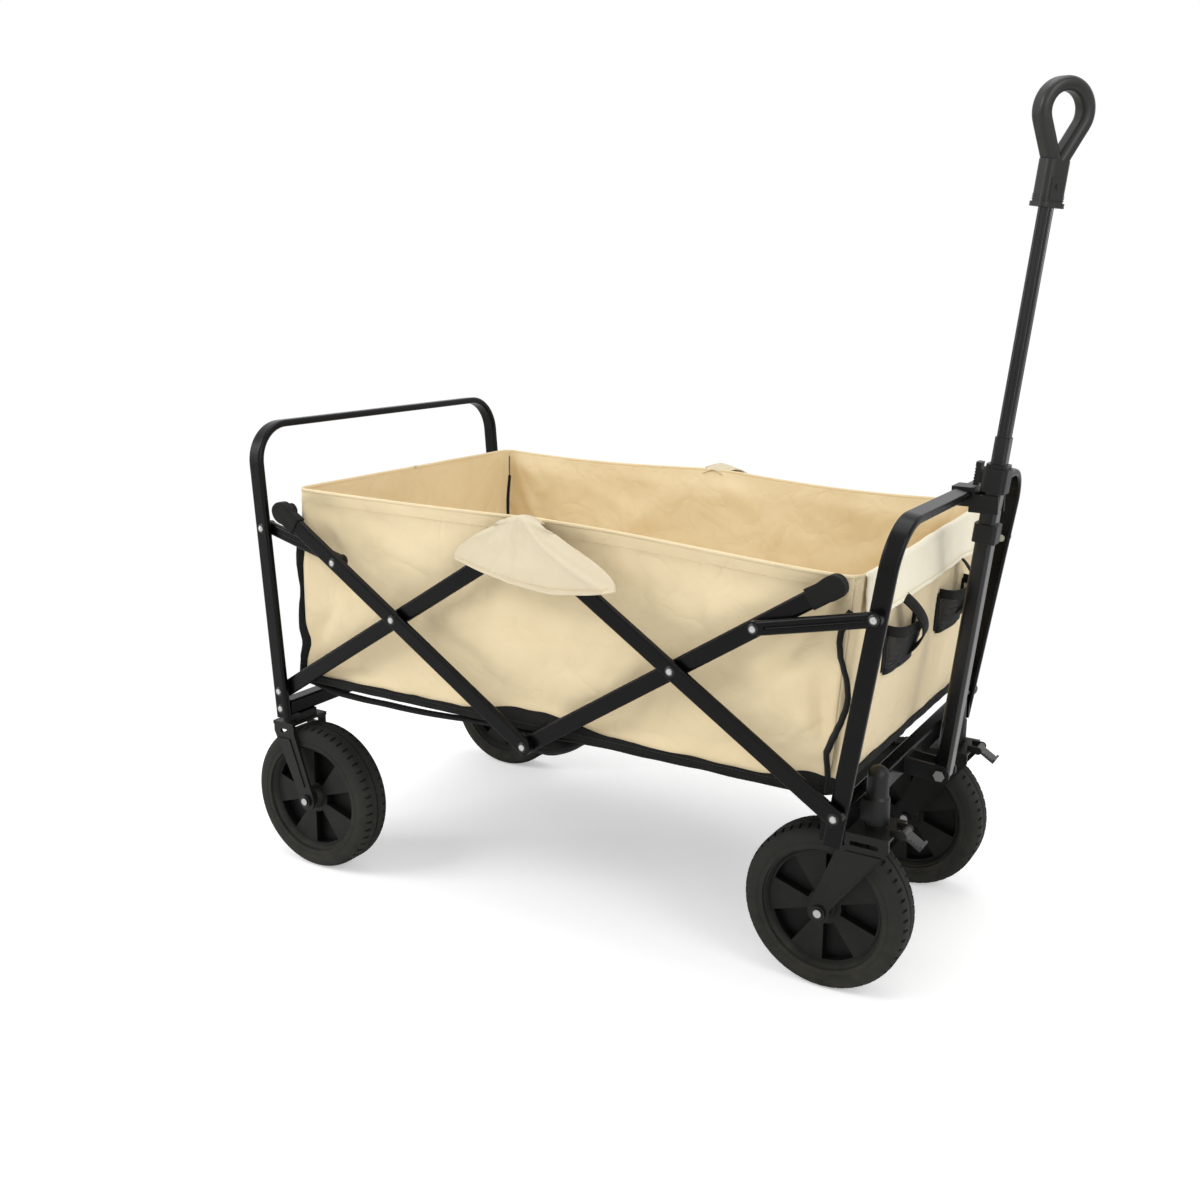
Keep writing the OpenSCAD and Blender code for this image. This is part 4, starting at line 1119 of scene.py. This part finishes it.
# ---------------------------------------------------------------- tip pockets
def half_of_node(node, side):
    """The node's solid on one side of the cart, as a closed mesh with soft edges."""
    bm = bmesh.new()
    bm.from_mesh(nodes[node].data)
    bmesh.ops.delete(bm, geom=[v for v in bm.verts if v.co.y * side < 0], context="VERTS")
    bmesh.ops.remove_doubles(bm, verts=bm.verts, dist=1e-5)
    bmesh.ops.dissolve_limit(bm, angle_limit=math.radians(4), verts=bm.verts, edges=bm.edges)
    mesh = bpy.data.meshes.new("half")
    bm.to_mesh(mesh)
    bm.free()
    o = new_piece("half", mesh, None)
    r = o.modifiers.new("remesh", "REMESH")
    r.mode, r.voxel_size = "VOXEL", 0.0011
    s = o.modifiers.new("soft", "SMOOTH")
    s.factor, s.iterations = 0.5, 5
    soft = finished_mesh(o)
    bpy.data.objects.remove(o)
    return soft


def tip_pocket(node, side, forward):
    """Padded textile pocket over an arm's tip, slim along the arm; forward is 1 or -1."""
    mesh = half_of_node(node, side)
    co = np.zeros(len(mesh.vertices) * 3)
    mesh.vertices.foreach_get("co", co)
    co = co.reshape(-1, 3)
    low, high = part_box(node)
    head, slim = 0.015, 0.0120
    tip = np.array((high.x - head if forward > 0 else low.x + head, high.z - head))
    reach = math.atan2(arm_high.z - arm_low.z, arm_high.x - arm_low.x)
    axis = np.array((math.cos(reach) * forward, math.sin(reach)))
    for q in co:
        d = q[[0, 2]] - tip
        along = d @ axis
        kept = axis * min(along, 0)
        swell = d - kept
        size = np.linalg.norm(swell)
        if size > slim:
            q[[0, 2]] = tip + kept + swell * (slim + (size - slim) * 0.25) / size
        q += np.array(noise.noise_vector(Vector(q) * 90)) * 0.0005
    mesh.vertices.foreach_set("co", co.ravel())
    set_uv(mesh, co[:, [0, 2]] + co[:, [1, 1]] * 0.7)
    mesh.materials.clear()
    return new_piece("pocket", mesh, black_webbing)


for end, body, forward in (("rear", "outer_rear_arms", -1), ("front", "inner_front_arms", 1)):
    node = f"{end}_corner_caps"
    both = join_pieces(f"{end}_tip_pockets", [tip_pocket(node, s, forward) for s in (-1, 1)])
    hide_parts(node)
    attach(both, body)


# ---------------------------------------------------------------- front valance and drink pockets
VALANCE_DROP = 0.05
POCKET_HALF = 0.047
front_points = walls[front_near:front_far + 1].reshape(-1, 3)


def front_x(y, z):
    """Where the settled front wall lies, in metres."""
    away = (front_points[:, 1] - y) ** 2 + (front_points[:, 2] - z) ** 2
    return float(front_points[np.argmin(away), 0])


def front_valance():
    """Second layer of canvas over the rim of the front wall, hanging free at its lower edge."""
    columns, rows = 72, 20
    p = np.zeros((columns, rows, 3))
    half = wall_y - 0.012
    for i in range(columns):
        y = -half + 2 * half * i / (columns - 1)
        top = rim_height(front_rim_x, y)
        for j in range(rows):
            v = j / (rows - 1)
            z = top + 0.002 - VALANCE_DROP * v
            wave = 0.5 + 0.5 * math.sin(y * 34 + 1.3) * math.cos(y * 13)
            puff = 0.0035 + 0.0085 * v ** 1.5 * (0.55 + 0.45 * wave)
            puff += 0.003 * noise.noise(Vector((y * 20, z * 26, 5))) * v
            if j == 0:
                puff = 0
            p[i, j] = (front_x(y, min(z, top)) + puff, y, z)
    uv = sheet_uv(np.linspace(0, 2 * half, columns), np.linspace(0, VALANCE_DROP, rows))
    # the valance takes the canvas that is painted lighter, as painted light
    o = grid_piece("front_valance", p, uv, front_canvas_painted_light, flip=True)
    return o, [Vector(q) + Vector((0.0012, 0, 0.006)) for q in p[1:-1, -1]]


def pouch_points(middle, low, high):
    """The net's bulging sheet, from one side to the other and from its foot to its rim."""
    columns, rows = 25, 19
    p = np.zeros((columns, rows, 3))
    for i in range(columns):
        a = math.pi * i / (columns - 1)
        for j in range(rows):
            v = j / (rows - 1)
            z = low + (high - low) * v
            y = middle - POCKET_HALF * math.cos(a) * (0.93 + 0.07 * v)
            bulge = (0.005 + 0.014 * v ** 0.6) * math.sin(a) ** 0.7
            p[i, j] = (front_x(y, z) + 0.0016 + bulge, y, z - 0.004 * math.sin(a) * v)
    return p


def net_piece(p):
    """Diamond net on a sheet of points."""
    flat = np.zeros((p.shape[0] * p.shape[1], 2))
    fine = mesh_from("net_sheet", p.reshape(-1, 3), grid_faces(*p.shape[:2]), flat)
    bm = bmesh.new()
    bm.from_mesh(fine)
    bmesh.ops.subdivide_edges(bm, edges=bm.edges, cuts=1, use_grid_fill=True)
    bmesh.ops.poke(bm, faces=bm.faces)
    bm.edges.ensure_lookup_table()
    straight = [e for e in bm.edges if all(len(v.link_edges) > 4 for v in e.verts)]
    bmesh.ops.dissolve_edges(bm, edges=straight, use_verts=False)
    bm.to_mesh(fine)
    bm.free()
    net = from_tree("net", fine, net_tree, {"Thread Radius": 0.0003, "Thread": net_thread})
    if not net.data.uv_layers.get(CUT):
        net.data.uv_layers.new(name=CUT)
    return net


def drink_pocket(side):
    """Net pouch with a bound rim, a strap across it and a bound bottom."""
    middle = side * (pocket_high.y + (pocket_high.y - 0.105)) / 2
    low, high = pocket_low.z + 0.002, min(pocket_high.z - 0.02, rim_z - 0.04 - VALANCE_DROP)
    outward = Vector((1, 0, 0))
    p = pouch_points(middle, low, high)
    rim = sweep("rim", p[:, -1], flat_band(0.0026, 0.011), black_webbing)
    foot = sweep("foot", p[:, 0], flat_band(0.003, 0.008), black_webbing)
    edges = [sweep("edge", p[k], flat_band(0.010, 0.002), black_webbing, up=outward)
             for k in (0, -1)]
    # the strap hangs from under the valance, goes down across the pouch, and back to its foot
    strap_top, strap_foot = high + 0.034, low + 0.004
    strap_path = []
    for k in range(21):
        w = k / 20
        y = middle + side * (0.014 - 0.026 * w)
        z = strap_top - (strap_top - strap_foot) * w
        out = 0.004 + 0.026 * math.sin(math.pi * min(1, w * 1.02)) ** 0.9
        strap_path.append(Vector((front_x(y, z) + out, y, z)))
    strap = sweep("strap", strap_path, flat_band(0.018, 0.0018), black_webbing, up=outward)
    return [net_piece(p), rim, foot, strap] + edges


valance, valance_edge = front_valance()
valance_stitches = stitches("valance_stitches", [valance_edge], canvas_thread)
pockets = join_pieces("drink_pockets", drink_pocket(-1) + drink_pocket(1))


def folding_cloth(o, node=None):
    """Keeps the finished surface as the mesh itself, and hangs it on the rear frame."""
    mesh = finished_mesh(o)
    o.modifiers.clear()
    o.data = mesh
    mesh.shade_smooth()
    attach(o, "rear_frame")
    if node:
        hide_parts(node)
    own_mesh(o)


for k, (o, width) in enumerate(canvas_walls):
    folding_cloth(o, "tub" if k == 0 else None)
folding_cloth(near_flap, "side_flaps")
for o in (far_flap, valance, rim_hem, hem_stitches, flap_hem, flap_stitches, valance_stitches):
    folding_cloth(o)
for o in (corner_bindings, inner_seams, foot_band, side_straps, foot_stitches, floor_cloth):
    folding_cloth(o)
folding_cloth(floor_mat, "floor_boards")
folding_cloth(pockets, "front_pockets")

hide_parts("centre_sleeves")
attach(centre_pouches, "outer_rear_arms")
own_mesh(centre_pouches)


# ---------------------------------------------------------------- floor, light, camera
WHITE = (1, 1, 1, 1)


def stage_floor():
    """Pale paper that turns plain white away from the cart, so that only its soft shadow shows."""
    mesh = bpy.data.meshes.new("studio_floor")
    mesh.from_pydata([(-14, -14, 0), (14, -14, 0), (14, 14, 0), (-14, 14, 0)], [], [(0, 1, 2, 3)])
    m, t = material("floor_paper", 0.95, specular=0.05)
    away = t.vector("LENGTH", t.coordinate())
    far = t.spread(away, (0.5, 1.15), (0, 1), interpolation_type="SMOOTHSTEP")
    seen = t.add("ShaderNodeLightPath").outputs["Is Camera Ray"]
    base = t.blend(t.math("MULTIPLY", far, seen), (0.9, 0.9, 0.9, 1), (0, 0, 0, 1))
    t.join(base, t.bsdf["Base Color"])
    t.bsdf["Emission Color"].default_value = WHITE
    glow = t.math("ADD", t.math("MULTIPLY", far, 0.62), 0.38)
    t.join(t.math("MULTIPLY", seen, glow), t.bsdf["Emission Strength"])
    new_piece("studio_floor", mesh, m, smooth=False)


def studio_world():
    """White surroundings, brighter where the camera and the glossy paint see them."""
    w = bpy.data.worlds.new("studio")
    w.use_nodes = True
    scene.world = w
    t = Tree(w.node_tree)
    back = w.node_tree.nodes["Background"].inputs
    back[0].default_value = WHITE
    path = t.add("ShaderNodeLightPath").outputs
    seen = t.math("MAXIMUM", path["Is Camera Ray"], path["Is Glossy Ray"])
    t.join(t.math("ADD", t.math("MULTIPLY", seen, 0.45), 0.55), back[1])


def soft_box(name, place, size, watts):
    """Area light that faces the middle of the cart."""
    light = bpy.data.lights.new(name, "AREA")
    light.shape, light.energy = "RECTANGLE", watts
    light.size, light.size_y = size
    o = bpy.data.objects.new(name, light)
    scene.collection.objects.link(o)
    o.location = place
    o.rotation_mode = "QUATERNION"
    o.rotation_quaternion = (Vector((0, 0, 0.35)) - Vector(place)).to_track_quat("-Z", "Y")


def make_camera():
    """Looks at the cart's middle from its front right, from a little above the rim."""
    middle, distance = Vector((0, 0, 0.45)), 1.61674
    turn, rise, roll = math.radians(28.829), math.radians(11.522), math.radians(1.037)
    data = bpy.data.cameras.new("view")
    data.sensor_width, data.lens = 36, 38.3157
    data.shift_x, data.shift_y = -0.0524, -0.052675
    data.clip_start, data.clip_end = 0.01, 60
    back = Vector((math.sin(turn) * math.cos(rise), -math.cos(turn) * math.cos(rise), math.sin(rise)))
    right = (-back).cross(Vector((0, 0, 1))).normalized()
    up = right.cross(-back)
    rolled_right = math.cos(roll) * right + math.sin(roll) * up
    rolled_up = -math.sin(roll) * right + math.cos(roll) * up
    facing = Matrix((rolled_right, rolled_up, back)).transposed().to_4x4()
    o = bpy.data.objects.new("view", data)
    scene.collection.objects.link(o)
    o.matrix_world = Matrix.Translation(middle + back * distance) @ facing
    scene.camera = o


stage_floor()
studio_world()
soft_box("key", (-1.6, -1.7, 2.1), (1.3, 1.0), 27)
soft_box("fill", (2.4, -1.0, 1.8), (1.2, 1.6), 22)
soft_box("top", (0.1, 0.3, 3.0), (2.2, 1.8), 28)
soft_box("left_strip", (-2.3, -1.5, 1.0), (0.16, 2.0), 8)
soft_box("right_strip", (1.9, -2.2, 1.0), (0.16, 2.0), 8)
make_camera()
